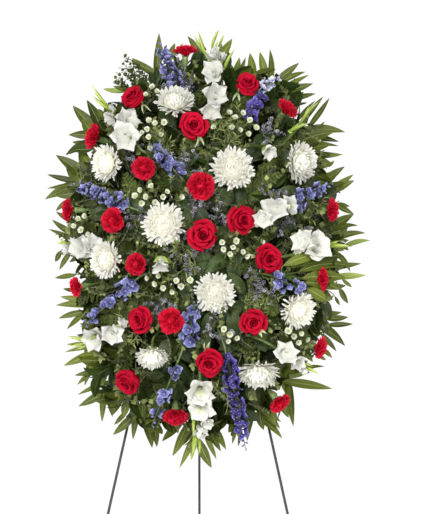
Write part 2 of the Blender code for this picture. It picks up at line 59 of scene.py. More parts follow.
ROSES = (
    (-170, 1380, 57, 45, 135), (-28, 1314, 68, 10, 90), (97, 1410, 57, 30, 90),
    (-7, 1061, 71, 0, 0), (85, 1095, 67, 25, 0), (145, 1005, 67, 20, 0),
    (108, 860, 62, 10, 315), (7, 764, 62, 15, 270), (-154, 865, 64, 30, 180),
    (-182, 720, 62, 45, 225),
)
CARNATIONS = (
    (-48, 1484, 55, 80, 90), (-260, 1288, 60, 68, 160), (-143, 1215, 55, 15, 180),
    (-11, 1173, 64, 3, 0), (189, 1348, 53, 60, 45), (-214, 1095, 60, 35, 180),
    (-317, 1118, 55, 78, 180), (-168, 994, 53, 30, 180), (-299, 941, 46, 60, 190),
    (-80, 863, 60, 18, 200), (-69, 644, 57, 55, 270), (290, 1118, 53, 70, 0),
    (267, 959, 53, 78, 0), (262, 801, 53, 68, 345), (169, 674, 55, 62, 310),
)
MUMS = (
    (-70, 1369, 92, 45, 90), (61, 1214, 99, 5, 90), (219, 1228, 97, 50, 0),
    (-230, 1226, 87, 45, 180), (-98, 1086, 97, 5, 90), (-228, 1005, 85, 40, 180),
    (21, 926, 92, 5, 270), (214, 886, 85, 35, 330), (-124, 780, 76, 58, 270),
    (122, 741, 92, 56, 270),
)
GLADIOLI = (
    (16, 1330, 39, 1532), (-156, 1265, -271, 1408), (-230, 1008, -343, 1054),
    (-189, 851, -327, 824), (-16, 732, -18, 543), (152, 805, 267, 741),
    (184, 1012, 340, 1035), (182, 1279, 276, 1385),
)
DELPHINIUMS = (
    (-67, 1394, -106, 1504), (-60, 1196, -129, 1272), (-184, 1127, -313, 1182),
    (-161, 955, -285, 847), (-64, 768, -124, 621), (46, 787, 92, 562),
    (193, 1127, 290, 1182),
)
# The leaves that make the outline, in the front elevation: tip, where it leaves the mass, width, then how far it
# bows to its left in hundredths of its length, and 1 where the leaf is a young light one.
LEAVES = (
    (-108, 1525, -116, 1438, 19), (-170, 1468, -121, 1440, 16, 8), (-143, 1437, -111, 1426, 6), (-237, 1397, -191, 1392, 12, 4, 1),
    (-214, 1403, -186, 1394, 10), (-197, 1418, -186, 1400, 10), (-274, 1371, -235, 1293, 27), (-306, 1358, -245, 1299, 25),
    (-316, 1291, -260, 1291, 19), (-308, 1274, -272, 1268, 12), (-323, 1244, -267, 1272, 22), (-290, 1272, -258, 1177, 28),
    (-345, 1244, -267, 1183, 28), (-365, 1200, -302, 1186, 13), (-365, 1168, -290, 1179, 11), (-370, 1143, -290, 1177, 25),
    (-346, 1116, -325, 1137, 10), (-345, 1114, -315, 1093, 12), (-354, 1096, -306, 1065, 13), (-362, 1074, -308, 1050, 12),
    (-347, 999, -336, 1019, 12), (-337, 980, -316, 1013, 12), (-348, 962, -309, 968, 13), (-329, 937, -302, 933, 10),
    (-335, 919, -275, 912, 14), (-345, 899, -258, 897, 17), (-339, 869, -288, 882, 13), (-320, 844, -283, 878, 13),
    (-325, 791, -273, 799, 8), (-321, 809, -275, 813, 7), (-327, 760, -256, 789, 18), (-302, 738, -256, 750, 11),
    (-296, 716, -263, 743, 11), (-279, 714, -263, 782, 15), (-295, 693, -227, 719, 13), (-293, 667, -234, 702, 18),
    (-239, 630, -235, 699, 14), (-214, 601, -171, 641, 17), (-211, 624, -191, 648, 10), (-215, 642, -222, 704, 14),
    (-168, 590, -160, 650, 14), (-124, 571, -145, 646, 22), (-113, 573, -118, 622, 15), (-101, 586, -62, 624, 17),
    (-77, 552, -48, 615, 19), (-60, 573, -33, 617, 18), (-61, 525, -33, 588, 16), (-34, 542, -21, 602, 14, 0, 1),
    (13, 525, -12, 580, 20), (24, 545, 1, 593, 11), (34, 563, 3, 611, 16), (46, 567, 14, 618, 16),
    (60, 580, 66, 612, 8), (74, 574, 80, 612, 8), (95, 587, 107, 701, 24), (175, 593, 113, 642, 19, 6),
    (170, 615, 120, 655, 16, 8), (173, 630, 138, 657, 12, 8), (201, 621, 190, 722, 22), (290, 707, 189, 722, 19, 1),
    (182, 697, 173, 741, 14), (239, 745, 166, 748, 29), (273, 758, 217, 745, 10, 6), (276, 773, 261, 783, 8),
    (290, 778, 270, 796, 11), (300, 793, 270, 827, 13), (320, 805, 257, 852, 19, 6), (338, 856, 289, 854, 12),
    (327, 872, 282, 870, 14), (312, 883, 271, 880, 12), (308, 899, 299, 915, 7), (327, 903, 311, 932, 12),
    (336, 941, 318, 955, 8), (322, 944, 282, 941, 14), (332, 976, 294, 1016, 12, 10), (368, 968, 299, 964, 16, 0, 1),
    (357, 995, 287, 985, 14), (378, 1048, 325, 1032, 12, 9, 1), (367, 1065, 299, 1044, 14, 10), (350, 1082, 289, 1058, 15, 12),
    (340, 1109, 287, 1077, 22), (340, 1109, 304, 1131, 14, -6), (331, 1127, 304, 1131, 12), (341, 1186, 285, 1161, 19),
    (339, 1200, 286, 1165, 14), (319, 1218, 270, 1182, 17), (295, 1232, 279, 1221, 8, -8), (280, 1222, 250, 1231, 14),
    (314, 1246, 244, 1251, 15), (306, 1265, 232, 1273, 15), (306, 1275, 239, 1285, 14), (320, 1297, 232, 1298, 20, 6),
    (273, 1322, 259, 1307, 6), (284, 1376, 241, 1316, 13), (270, 1379, 232, 1329, 11), (252, 1370, 216, 1329, 10),
    (233, 1365, 210, 1359, 6), (252, 1386, 209, 1373, 14), (246, 1409, 176, 1391, 19), (237, 1429, 184, 1400, 14),
    (229, 1436, 177, 1412, 13), (214, 1457, 167, 1419, 16), (147, 1488, 146, 1421, 19), (124, 1482, 135, 1423, 18),
    (101, 1479, 109, 1426, 20), (91, 1469, 79, 1441, 11), (77, 1469, 66, 1427, 15), (52, 1458, 61, 1434, 11),
    (60, 1512, 29, 1467, 19), (-42, 1518, 0, 1460, 20), (-51, 1502, -84, 1460, 8), (-71, 1502, -85, 1467, 13),
)
# Each gladiolus: its open florets (place, half width, degrees off the front, which way, how open in hundredths) ...
GLADIOLUS_FLORETS = (
    ((12, 1345, 23, 35, 270, 85), (23, 1384, 27, 25, 350, 100), (15, 1436, 26, 15, 90, 100), (17, 1474, 17, 60, 95, 60), (38, 1471, 9, 70, 60, 40)),
    ((-186, 1288, 31, 10, 0, 100), (-182, 1325, 27, 30, 45, 95), (-222, 1329, 16, 45, 200, 75), (-215, 1352, 8, 75, 130, 35)),
    ((-260, 1038, 25, 25, 60, 100), (-288, 1030, 26, 20, 250, 95), (-320, 1027, 14, 55, 190, 75)),
    ((-217, 831, 24, 20, 20, 100), (-259, 820, 28, 30, 200, 95), (-193, 857, 12, 50, 60, 70)),
    ((-16, 696, 31, 25, 285, 100), (-13, 656, 27, 25, 250, 95), (4, 626, 13, 45, 300, 75), (-11, 607, 14, 60, 265, 60)),
    ((185, 790, 25, 25, 80, 95), (212, 767, 18, 40, 330, 85), (224, 749, 8, 60, 300, 45)),
    ((222, 1047, 25, 30, 180, 95), (258, 1034, 31, 15, 0, 100)),
    (),
)
# ... and its green buds (foot, tip, width).
GLADIOLUS_BUDS = (
    ((5, 1464, -22, 1536, 9), (0, 1473, -32, 1524, 6), (14, 1490, 31, 1541, 8), (30, 1496, 43, 1526, 7), (42, 1444, 67, 1493, 10), (22, 1478, 27, 1512, 9)),
    ((-222, 1352, -266, 1407, 10), (-220, 1348, -264, 1382, 9)),
    ((-318, 1040, -345, 1043, 8), (-312, 1032, -343, 1055, 7)),
    ((-266, 822, -320, 827, 13), (-266, 812, -322, 803, 7), (-264, 816, -300, 795, 7)),
    ((-28, 640, -30, 596, 9), (-24, 606, -33, 545, 12), (-15, 592, -16, 551, 7)),
    ((224, 756, 262, 741, 10), (214, 766, 249, 758, 8)),
    ((281, 1035, 341, 1035, 11), (284, 1041, 309, 1048, 7)),
    ((218, 1320, 245, 1364, 9), (192, 1300, 241, 1321, 10), (198, 1306, 220, 1321, 6), (232, 1336, 262, 1372, 6)),
)
# Small things with no solid of their own.
# The last number: 0 blue, 1 dark, 2 pale.
SPARSE = (0.0, 0.0, 0.0, 0.30, 0.80, 0.0, 0.1, 0.0, 0.0, 0.60, 0.3)
FULL = (0.0110, 0.0124, 0.0122, 0.0112, 0.0106, 0.0108, 0.0110, 0.0126, 0.0106, 0.0110, 0.0106)
MORE_DELPHINIUMS = ((-38, 816, -29, 909, 0), (98, 1322, 134, 1396, 1), (152, 966, 236, 926, 0), (122, 1396, 172, 1424, 2))
ASTERS = (
    ((-131, 1323), (-117, 1318), (-97, 1320), (-136, 1304), (-147, 1295), (-131, 1286), (-103, 1291), (-129, 1261), (-161, 1309)),
    ((-124, 1401), (-138, 1383), (-113, 1390)),
    ((53, 1341), (67, 1330), (85, 1341), (101, 1325), (60, 1309), (78, 1302), (97, 1293), (18, 1307), (115, 1307)),
    ((-126, 1173), (-90, 1160), (-99, 1148), (-138, 1148), (-117, 1136), (-149, 1164), (-149, 1134), (-57, 1148), (-163, 1150)),
    ((-308, 1107), (-294, 1097), (-278, 1104), (-304, 1081), (-287, 1072), (-271, 1063)),
    ((-133, 962), (-117, 948), (-99, 939), (-78, 930), (-57, 943), (-37, 957), (-108, 966), (-69, 955)),
    ((37, 1044), (41, 1028), (62, 1033), (69, 1047), (85, 1022), (94, 1012), (55, 1017), (129, 1044)),
    ((41, 844), (55, 833), (71, 824), (51, 817)),
    ((189, 840), (202, 828), (219, 835), (232, 821), (246, 814), (212, 814)),
)
LIMONIUM = (
    (-51, 1422), (-46, 1233), (-186, 1245), (-166, 1111), (-16, 1123), (-64, 1033),
    (-32, 1003), (150, 1320), (30, 1107), (173, 1155), (198, 1102), (108, 964),
    (145, 923), (21, 842), (-106, 900),
)
CROWN = (
    (-30, 1436, -20, 1491, 24), (-8, 1436, -3, 1494, 24), (-52, 1410, -62, 1466, 22), (-40, 1402, -34, 1458, 24), (-70, 1416, -46, 1470, 20),
    (-14, 1412, -20, 1466, 26), (42, 1430, 52, 1482, 22), (-84, 1398, -101, 1446, 24), (-100, 1388, -130, 1436, 24), (-118, 1380, -154, 1422, 24),
    (-132, 1366, -178, 1400, 24), (-90, 1408, -78, 1460, 20), (-106, 1396, -114, 1448, 20), (2, 1400, 30, 1446, 22), (-148, 1352, -196, 1380, 22),
)
FOOT = (
    (-190, 694, -216, 645, 19), (-176, 688, -190, 638, 20), (-160, 684, -169, 630, 19), (-146, 680, -151, 626, 20), (-128, 672, -138, 620, 19),
    (-108, 668, -112, 616, 20), (-90, 664, -84, 610, 19), (-203, 706, -236, 666, 18), (-70, 660, -64, 604, 19), (-118, 676, -98, 622, 17),
    (100, 654, 96, 606, 19), (124, 660, 133, 612, 20), (146, 668, 160, 622, 19), (164, 684, 190, 640, 19), (80, 644, 75, 594, 17),
)
FANS = (
    (156, 1371, 207, 1412, 32), (170, 1353, 225, 1389, 26), (180, 1330, 216, 1362, 24), (198, 1265, 294, 1297, 34),
    (216, 1256, 288, 1270, 28), (221, 1238, 286, 1245, 28), (230, 1215, 290, 1226, 26), (253, 1173, 304, 1205, 26),
    (262, 1150, 320, 1182, 22), (253, 1040, 320, 1067, 22), (258, 1026, 329, 1049, 22), (-262, 1173, -322, 1219, 34),
    (-281, 1173, -338, 1165, 24), (-276, 1164, -345, 1151, 26), (-248, 1279, -285, 1330, 30), (-262, 1256, -306, 1256, 26),
    (-248, 1185, -290, 1254, 26),
)
RIGHT_PALM = ((178, 990, 285, 1030, 24), (196, 985, 318, 1012, 26), (214, 975, 330, 990, 27), (222, 962, 322, 962, 27), (228, 950, 310, 935, 26), (232, 938, 282, 908, 24))
# Pale sepals that show beside a rose: from, to, width.
SEPALS = ((-145, 1362, -132, 1337, 6), (-18, 1290, -13, 1259, 7), (74, 1388, 70, 1366, 7), (4, 792, 2, 817, 8), (118, 1011, 97, 1011, 9), (118, 844, 137, 827, 9))
TUFTS = ((58, 1300, 46, 26), (-95, 1262, 40, 10), (250, 1130, 34, 9), (-190, 862, 50, 12), (-60, 1010, 40, 8), (120, 905, 40, 8), (20, 700, 50, 8), (205, 1010, 36, 8), (-8, 1180, 30, 6), (-225, 1010, 36, 8))
SINGLE_FLORETS = ((147, 1248, 40, 48, 300), (-104, 987, 43, 56, 268))
EXTRA_SPIKE = (112, 1082, 214, 1142)
EXTRA_FLORETS = ((130, 1097, 22, 28, 235, 95), (158, 1120, 27, 22, 190, 100), (194, 1129, 21, 42, 25, 90))

ROSE_SHAPE = ((-1.08, 0.26), (-0.62, 0.62), (-0.15, 0.92), (0.28, 0.93), (0.62, 0.76), (0.80, 0.38))
CARNATION_SHAPE = ((-1.45, 0.20), (-0.62, 0.30), (-0.34, 0.84), (0.00, 0.95), (0.34, 0.80), (0.56, 0.36))
MUM_SHAPE = ((-0.62, 0.14), (-0.36, 0.66), (-0.10, 0.92), (0.16, 0.90), (0.42, 0.62), (0.56, 0.26))
GLADIOLUS_SHAPE = ((0.00, 0.010), (0.08, 0.022), (0.40, 0.025), (0.62, 0.017), (0.82, 0.009), (1.00, 0.004))
DELPHINIUM_SHAPE = ((0.00, 0.007), (0.12, 0.015), (0.50, 0.016), (0.78, 0.010), (1.00, 0.004))

PIVOT = np.array((EASEL_X, Y_SHIFT, APEX_Z))
ACROSS = np.array((1.0, 0.0, 0.0))
UPWARD = np.array((0.0, math.sin(FRONT_LEAN), math.cos(FRONT_LEAN)))
FORWARD = np.array((0.0, -math.cos(FRONT_LEAN), math.sin(FRONT_LEAN)))
EYE = np.array((EYE_X, Y_SHIFT + FACE_Y - SIGHT, EYE_Z))


def plane_point(a, h, f):
    return PIVOT + a * ACROSS + h * UPWARD + f * FORWARD


def on_sight_line(x, z, f):
    """The point that stands at (x, z) in the front elevation and f forward of the pivot."""
    ray = np.array((x, Y_SHIFT + FACE_Y, z)) - EYE
    t = (f - (EYE - PIVOT) @ FORWARD) / (ray @ FORWARD)
    return EYE + t * ray


def elevation(point):
    """Where a point stands in the front elevation."""
    ray = point - EYE
    flat = EYE + ray * (SIGHT / ray[1])
    return flat[0], flat[2]


def dome(x, z):
    rho = math.hypot(x / DOME_A, (z - DOME_Z) / DOME_H)
    return DOME_RIM + DOME_RISE * math.sqrt(max(0.0, 1 - rho * rho))


def facing(off, clock):
    off, clock = math.radians(off), math.radians(clock)
    return np.array((math.sin(off) * math.cos(clock), -math.cos(off), math.sin(off) * math.sin(clock)))


def flower_list():
    found = []
    for kind, rows, shape in (("rose", ROSES, ROSE_SHAPE), ("mum", MUMS, MUM_SHAPE), ("carnation", CARNATIONS, CARNATION_SHAPE)):
        for number, (x, z, width, off, clock) in enumerate(rows, 1):
            x, z, radius = x / 1000, z / 1000, width / 2000
            centre = on_sight_line(x, z, dome(x, z))
            way = facing(off, clock)
            points = np.array([centre + s * radius * way for s, _ in shape])
            found.append([f"{kind}_{number:02d}", points, np.array([radius * r for _, r in shape]), way, radius])
    for kind, rows, shape in (("gladiolus", GLADIOLI, GLADIOLUS_SHAPE), ("delphinium", DELPHINIUMS, DELPHINIUM_SHAPE)):
        for number, row in enumerate(rows, 1):
            low, high = spike_ends(row)
            way = (high - low) / np.linalg.norm(high - low)
            points = np.array([low + t * (high - low) for t, _ in shape])
            found.append([f"{kind}_{number:02d}", points, np.array([r for _, r in shape]), way, 0.0])
    return found


def spike_ends(row):
    x0, z0, x1, z1 = (value / 1000 for value in row)
    return on_sight_line(x0, z0, dome(x0, z0) - 0.012), on_sight_line(x1, z1, dome(x1, z1) + 0.010)


def closest(p1, q1, p2, q2):
    d1, d2, r = q1 - p1, q2 - p2, p1 - p2
    a = (d1 * d1).sum(-1)
    e = (d2 * d2).sum(-1)
    f = (d2 * r).sum(-1)
    c = (d1 * r).sum(-1)
    b = (d1 * d2).sum(-1)
    s = np.clip((b * f - c * e) / np.maximum(a * e - b * b, 1e-12), 0, 1)
    t = np.clip((b * s + f) / np.maximum(e, 1e-12), 0, 1)
    s = np.clip((b * t - c) / np.maximum(a, 1e-12), 0, 1)
    return s, t, (p1 + d1 * s[..., None]) - (p2 + d2 * t[..., None])


def part_heads(flowers, rounds=120):
    """The same small moves that keep the solid heads apart."""
    moved = np.zeros((len(flowers), 3))
    ease = np.array((0.25, 1.0, 0.25))
    reach = [np.linalg.norm(p - p.mean(0), axis=1).max() + r.max() for _, p, r, _, _ in flowers]
    for _ in range(rounds):
        push = np.zeros_like(moved)
        for i in range(len(flowers)):
            for j in range(i + 1, len(flowers)):
                a, ra = flowers[i][1] + moved[i], flowers[i][2]
                b, rb = flowers[j][1] + moved[j], flowers[j][2]
                if np.linalg.norm(a.mean(0) - b.mean(0)) > reach[i] + reach[j] + GAP:
                    continue
                s, t, apart = closest(a[:-1, None], a[1:, None], b[None, :-1], b[None, 1:])
                need = (ra[:-1, None] * (1 - s) + ra[1:, None] * s) + (rb[None, :-1] * (1 - t) + rb[None, 1:] * t) + 2 * GAP
                gap = np.linalg.norm(apart, axis=-1)
                short = need - gap
                k = np.unravel_index(np.argmax(short), short.shape)
                if short[k] <= 0:
                    continue
                way = apart[k] / max(gap[k], 1e-6) * ease
                if np.linalg.norm(way) < 0.3:
                    way = np.array((0.0, -1.0 if a.mean(0)[1] < b.mean(0)[1] else 1.0, 0.0))
                way /= np.linalg.norm(way)
                push[i] += 0.5 * short[k] * way
                push[j] -= 0.5 * short[k] * way
        moved += push
        if np.abs(push).max() < 1e-5:
            break
    return moved


def planting_slots():
    found = []
    bottom = HOLD_TOP - HOLD_ROWS * HOLD_CELL
    levels = [HOLD_TOP - HOLD_CELL * (k // 2) - (0.023 if k % 2 == 0 else 0.069) for k in range(2 * HOLD_ROWS)]
    for h in levels:
        found += [((a, h, FOAM_FRONT), (0, 0, 1)) for a in (-0.0415, -0.0145, 0.0145, 0.0415)]
        found += [((side * FOAM_HALF, h, f), (side, 0, 0)) for side in (-1, 1) for f in (0.045, 0.072)]
    for h, way in ((HOLD_TOP, 1), (bottom, -1)):
        found += [((a, h, f), (0, way, 0)) for a in (-0.029, 0.029) for f in (0.044, 0.072)]
    return [(np.array(p, float), np.array(d, float)) for p, d in found]


def plane_coords(point):
    d = np.asarray(point) - PIVOT
    return np.stack((d @ ACROSS, d @ UPWARD, d @ FORWARD), axis=-1)


def choose_slots(bases, slots):
    exits = np.array([p + d * 0.05 for p, d in slots])
    cost = ((bases[:, None] - exits[None]) ** 2).sum(-1)
    taken = {}
    for i in np.argsort(-cost.min(1)):
        order = np.argsort(cost[i])
        taken[int(i)] = int(next(k for k in order if k not in taken.values()))
    chosen = [taken[i] for i in range(len(bases))]
    better = True
    while better:
        better = False
        for i in range(len(chosen)):
            for k in range(len(slots)):
                if k in chosen:
                    j = chosen.index(k)
                    if j != i and cost[i, k] + cost[j, chosen[i]] < cost[i, chosen[i]] + cost[j, k] - 1e-9:
                        chosen[i], chosen[j] = chosen[j], chosen[i]
                        better = True
                elif cost[i, k] < cost[i, chosen[i]] - 1e-9:
                    chosen[i] = k
                    better = True
    return chosen


# ================================================================ numbers and meshes
def unit(v):
    return v / np.maximum(np.linalg.norm(v, axis=-1, keepdims=True), 1e-12)


def bern(n, k, t):
    return math.comb(n, k) * t ** k * (1 - t) ** (n - k)


def bezier(control, t):
    """control (..., n, d), t (m,) gives (..., m, d)."""
    n = control.shape[-2] - 1
    t = np.asarray(t, float)[:, None]
    return sum(bern(n, k, t) * control[..., None, k, :] for k in range(n + 1))


def basis(way, roll=0.0, up=(0.0, 0.0, 1.0)):
    """Columns across, along, out for something that faces way."""
    way = unit(np.asarray(way, float))
    up = np.asarray(up, float)
    if abs(way @ up) > 0.93:
        up = np.array((0.0, 1.0, 0.25))
    ex = unit(np.cross(up, way))
    ey = np.cross(way, ex)
    c, s = math.cos(roll), math.sin(roll)
    return np.stack((c * ex + s * ey, -s * ex + c * ey, way), axis=1)


class Builder:
    """Collects grids of points into one mesh, with a UV cell for each grid."""

    def __init__(self):
        self.points, self.quads, self.uvs, self.mats, self.count = [], [], [], [], 0

    def grid(self, P, cell=0, mat=0, u=None, v=None):
        K, nu, nv = P.shape[:3]
        u = np.linspace(0, 1, nu) if u is None else np.asarray(u)
        v = np.linspace(0, 1, nv) if v is None else np.asarray(v)
        cell = np.broadcast_to(np.asarray(cell), (K,))
        index = np.arange(K * nu * nv).reshape(K, nu, nv)
        quads = np.stack((index[:, :-1, :-1], index[:, 1:, :-1], index[:, 1:, 1:], index[:, :-1, 1:]), -1).reshape(-1, 4)
        uu = ((cell % 4)[:, None, None] + 0.03 + 0.94 * u[None, :, None] + 0 * v[None, None, :]) / 4
        vv = ((cell // 4)[:, None, None] + 0.03 + 0.94 * v[None, None, :] + 0 * u[None, :, None]) / 4
        flat = np.stack((uu, vv), -1).reshape(-1, 2)
        self.points.append(P.reshape(-1, 3))
        self.quads.append(quads + self.count)
        self.uvs.append(flat[quads])
        self.mats.append(np.full(len(quads), mat, np.int32))
        self.count += K * nu * nv

    def tubes(self, P, r, sides=5, cell=0, mat=0):
        """P (K, m, 3) lines, r radii (K, m) or (m,)."""
        P = np.asarray(P, float)
        r = np.broadcast_to(np.asarray(r, float), P.shape[:2])
        T = unit(np.gradient(P, axis=1))
        ref = np.where(np.abs(T[:, :1, 2:3]) > 0.9, np.array((1.0, 0, 0)), np.array((0, 0, 1.0)))
        S = unit(np.cross(T, np.broadcast_to(ref, T.shape)))
        for k in range(1, P.shape[1]):
            carried = S[:, k - 1] - (S[:, k - 1] * T[:, k]).sum(-1, keepdims=True) * T[:, k]
            S[:, k] = unit(carried)
        N = np.cross(T, S)
        angle = np.linspace(0, 2 * PI, sides + 1)
        ring = np.cos(angle)[None, :, None, None] * S[:, None] + np.sin(angle)[None, :, None, None] * N[:, None]
        self.grid(P[:, None] + ring * r[:, None, :, None], cell, mat)

    def leaves(self, base, tip, normal, width, cell=0, mat=0, arch=0.08, fold=0.25, nu=3, nv=6, power=0.8, sway=0.0, twist=None):
        """Flat blades from base to tip, as wide as 2 * width, folded along the midrib."""
        base, tip = np.atleast_2d(base), np.atleast_2d(tip)
        K = len(base)
        normal = unit(np.broadcast_to(np.asarray(normal, float), (K, 3)))
        width = np.broadcast_to(np.asarray(width, float), (K,))
        arch = np.broadcast_to(np.asarray(arch, float), (K,))
        sway = np.broadcast_to(np.asarray(sway, float), (K,))
        t = np.linspace(0, 1, nv)
        span = tip - base
        length = np.linalg.norm(span, axis=1)
        rise = (4 * t * (1 - t))[None, :, None]
        left = unit(np.cross(normal, span))
        C = base[:, None] + span[:, None] * t[None, :, None] + (normal * (arch * length)[:, None] + left * (sway * length)[:, None])[:, None] * rise
        T = unit(np.gradient(C, axis=1))
        S = unit(np.cross(normal[:, None] + 0 * T, T))
        N = np.cross(T, S)
        if twist is not None:
            a = np.asarray(twist)[:, None, None] * t[None, :, None]
            S, N = S * np.cos(a) + N * np.sin(a), N * np.cos(a) - S * np.sin(a)
        w = np.sin(PI * np.clip(t ** power, 0, 1)) ** 0.85
        w = np.maximum(w, np.where(t > 0.5, 0.03, 0.10))
        w = width[:, None] * w[None]
        u = np.linspace(-1, 1, nu)
        P = C[:, None] + S[:, None] * (u[None, :, None] * w[:, None])[..., None] + N[:, None] * (fold * np.abs(u)[None, :, None] * w[:, None])[..., None]
        self.grid(P, cell, mat)

    def make(self, name, materials, shade=0.5, body=ROOT, stands_for=None):
        P = np.concatenate(self.points).astype(np.float32)
        Q = np.concatenate(self.quads).astype(np.int32)
        UV = np.concatenate(self.uvs).astype(np.float32)
        M = np.concatenate(self.mats)
        mesh = bpy.data.meshes.new(name)
        mesh.vertices.add(len(P))
        mesh.vertices.foreach_set("co", P.ravel())
        mesh.loops.add(4 * len(Q))
        mesh.loops.foreach_set("vertex_index", Q.ravel())
        mesh.polygons.add(len(Q))
        mesh.polygons.foreach_set("loop_start", np.arange(0, 4 * len(Q), 4, dtype=np.int32))
        mesh.update(calc_edges=True)
        mesh.polygons.foreach_set("material_index", M)
        mesh.polygons.foreach_set("use_smooth", np.ones(len(Q), bool))
        layer = mesh.uv_layers.new(name="OFBake")
        layer.data.foreach_set("uv", UV.ravel())
        tone = mesh.attributes.new("shade", "FLOAT", "POINT")
        tone.data.foreach_set("value", np.full(len(P), shade, np.float32))
        for material in materials:
            mesh.materials.append(material)
        mesh.update()
        obj = bpy.data.objects.new(name, mesh)
        bpy.context.scene.collection.objects.link(obj)
        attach(obj, body)
        if stands_for:
            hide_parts(*([stands_for] if isinstance(stands_for, str) else stands_for))
        return obj


# ================================================================ materials
class Nodes:
    """A short hand for one material's nodes."""

    def __init__(self, name):
        self.material = bpy.data.materials.new(name)
        self.material.use_nodes = True
        self.tree = self.material.node_tree
        self.shader = self.tree.nodes["Principled BSDF"]
        self.out = self.tree.nodes["Material Output"]

    def add(self, kind, **settings):
        node = self.tree.nodes.new(kind)
        for key, value in settings.items():
            setattr(node, key, value)
        return node

    def link(self, a, b):
        self.tree.links.new(a, b)

    def put(self, socket, value):
        if isinstance(value, bpy.types.NodeSocket):
            self.link(value, socket)
        elif isinstance(value, (tuple, list)) and len(value) == 3 and socket.type == "RGBA":
            socket.default_value = (*value, 1)
        else:
            socket.default_value = value

    def math(self, operation, a, b=None, c=None, clamp=False):
        node = self.add("ShaderNodeMath", operation=operation, use_clamp=clamp)
        for socket, value in zip(node.inputs, (a, b, c)):
            if value is not None:
                self.put(socket, value)
        return node.outputs[0]

    def mix(self, factor, a, b, blend="MIX"):
        node = self.add("ShaderNodeMix", data_type="RGBA", blend_type=blend)
        self.put(node.inputs[0], factor)
        self.put(node.inputs[6], a)
        self.put(node.inputs[7], b)
        return node.outputs[2]

    def ramp(self, value, stops, interpolation="LINEAR"):
        node = self.add("ShaderNodeValToRGB")
        node.color_ramp.interpolation = interpolation
        while len(node.color_ramp.elements) < len(stops):
            node.color_ramp.elements.new(0.5)
        for element, (place, colour) in zip(node.color_ramp.elements, stops):
            element.position = place
            element.color = (*colour, 1) if len(colour) == 3 else colour
        self.put(node.inputs[0], value)
        return node.outputs[0]

    def span(self, value, a, b, lo=0.0, hi=1.0, smooth=True):
        node = self.add("ShaderNodeMapRange", interpolation_type="SMOOTHSTEP" if smooth else "LINEAR")
        for socket, v in zip(node.inputs, (value, a, b, lo, hi)):
            self.put(socket, v)
        return node.outputs[0]

    def noise(self, vector, scale, detail=2.0, rough=0.5, distortion=0.0, dims="3D"):
        node = self.add("ShaderNodeTexNoise", noise_dimensions=dims)
        self.link(vector, node.inputs["Vector"])
        node.inputs["Scale"].default_value = scale
        node.inputs["Detail"].default_value = detail
        node.inputs["Roughness"].default_value = rough
        node.inputs["Distortion"].default_value = distortion
        return node.outputs[0]

    def combine(self, x, y, z=0.0):
        node = self.add("ShaderNodeCombineXYZ")
        for socket, value in zip(node.inputs, (x, y, z)):
            self.put(socket, value)
        return node.outputs[0]

    def cell(self):
        """Across, along, a random number for the cell and the cell's own number."""
        uv = self.add("ShaderNodeUVMap", uv_map="OFBake").outputs[0]
        split = self.add("ShaderNodeSeparateXYZ")
        self.link(uv, split.inputs[0])
        out = []
        cells = []
        for k in (0, 1):
            four = self.math("MULTIPLY", split.outputs[k], 4.0)
            cells.append(self.math("FLOOR", four))
            part = self.math("FRACT", four)
            out.append(self.math("DIVIDE", self.math("SUBTRACT", part, 0.03), 0.94, clamp=True))
        white = self.add("ShaderNodeTexWhiteNoise", noise_dimensions="2D")
        self.link(self.combine(cells[0], cells[1]), white.inputs["Vector"])
        number = self.math("ADD", cells[0], self.math("MULTIPLY", cells[1], 4.0))
        return out[0], out[1], white.outputs[0], number

    def shade(self):
        return self.add("ShaderNodeAttribute", attribute_name="shade").outputs["Fac"]

    def bump(self, height, strength=0.3, distance=0.001):
        node = self.add("ShaderNodeBump")
        node.inputs["Strength"].default_value = strength
        node.inputs["Distance"].default_value = distance
        self.link(height, node.inputs["Height"])
        self.link(node.outputs[0], self.shader.inputs["Normal"])
        return node.outputs[0]

    def set(self, **values):
        for key, value in values.items():
            self.put(self.shader.inputs[key.replace("_", " ")], value)

    def thin(self, colour, share):
        """Lets light through, as a petal or a leaf does."""
        glow = self.add("ShaderNodeBsdfTranslucent")
        self.put(glow.inputs["Color"], colour)
        mixer = self.add("ShaderNodeMixShader")
        mixer.inputs[0].default_value = share
        self.link(self.shader.outputs[0], mixer.inputs[1])
        self.link(glow.outputs[0], mixer.inputs[2])
        self.link(mixer.outputs[0], self.out.inputs[0])


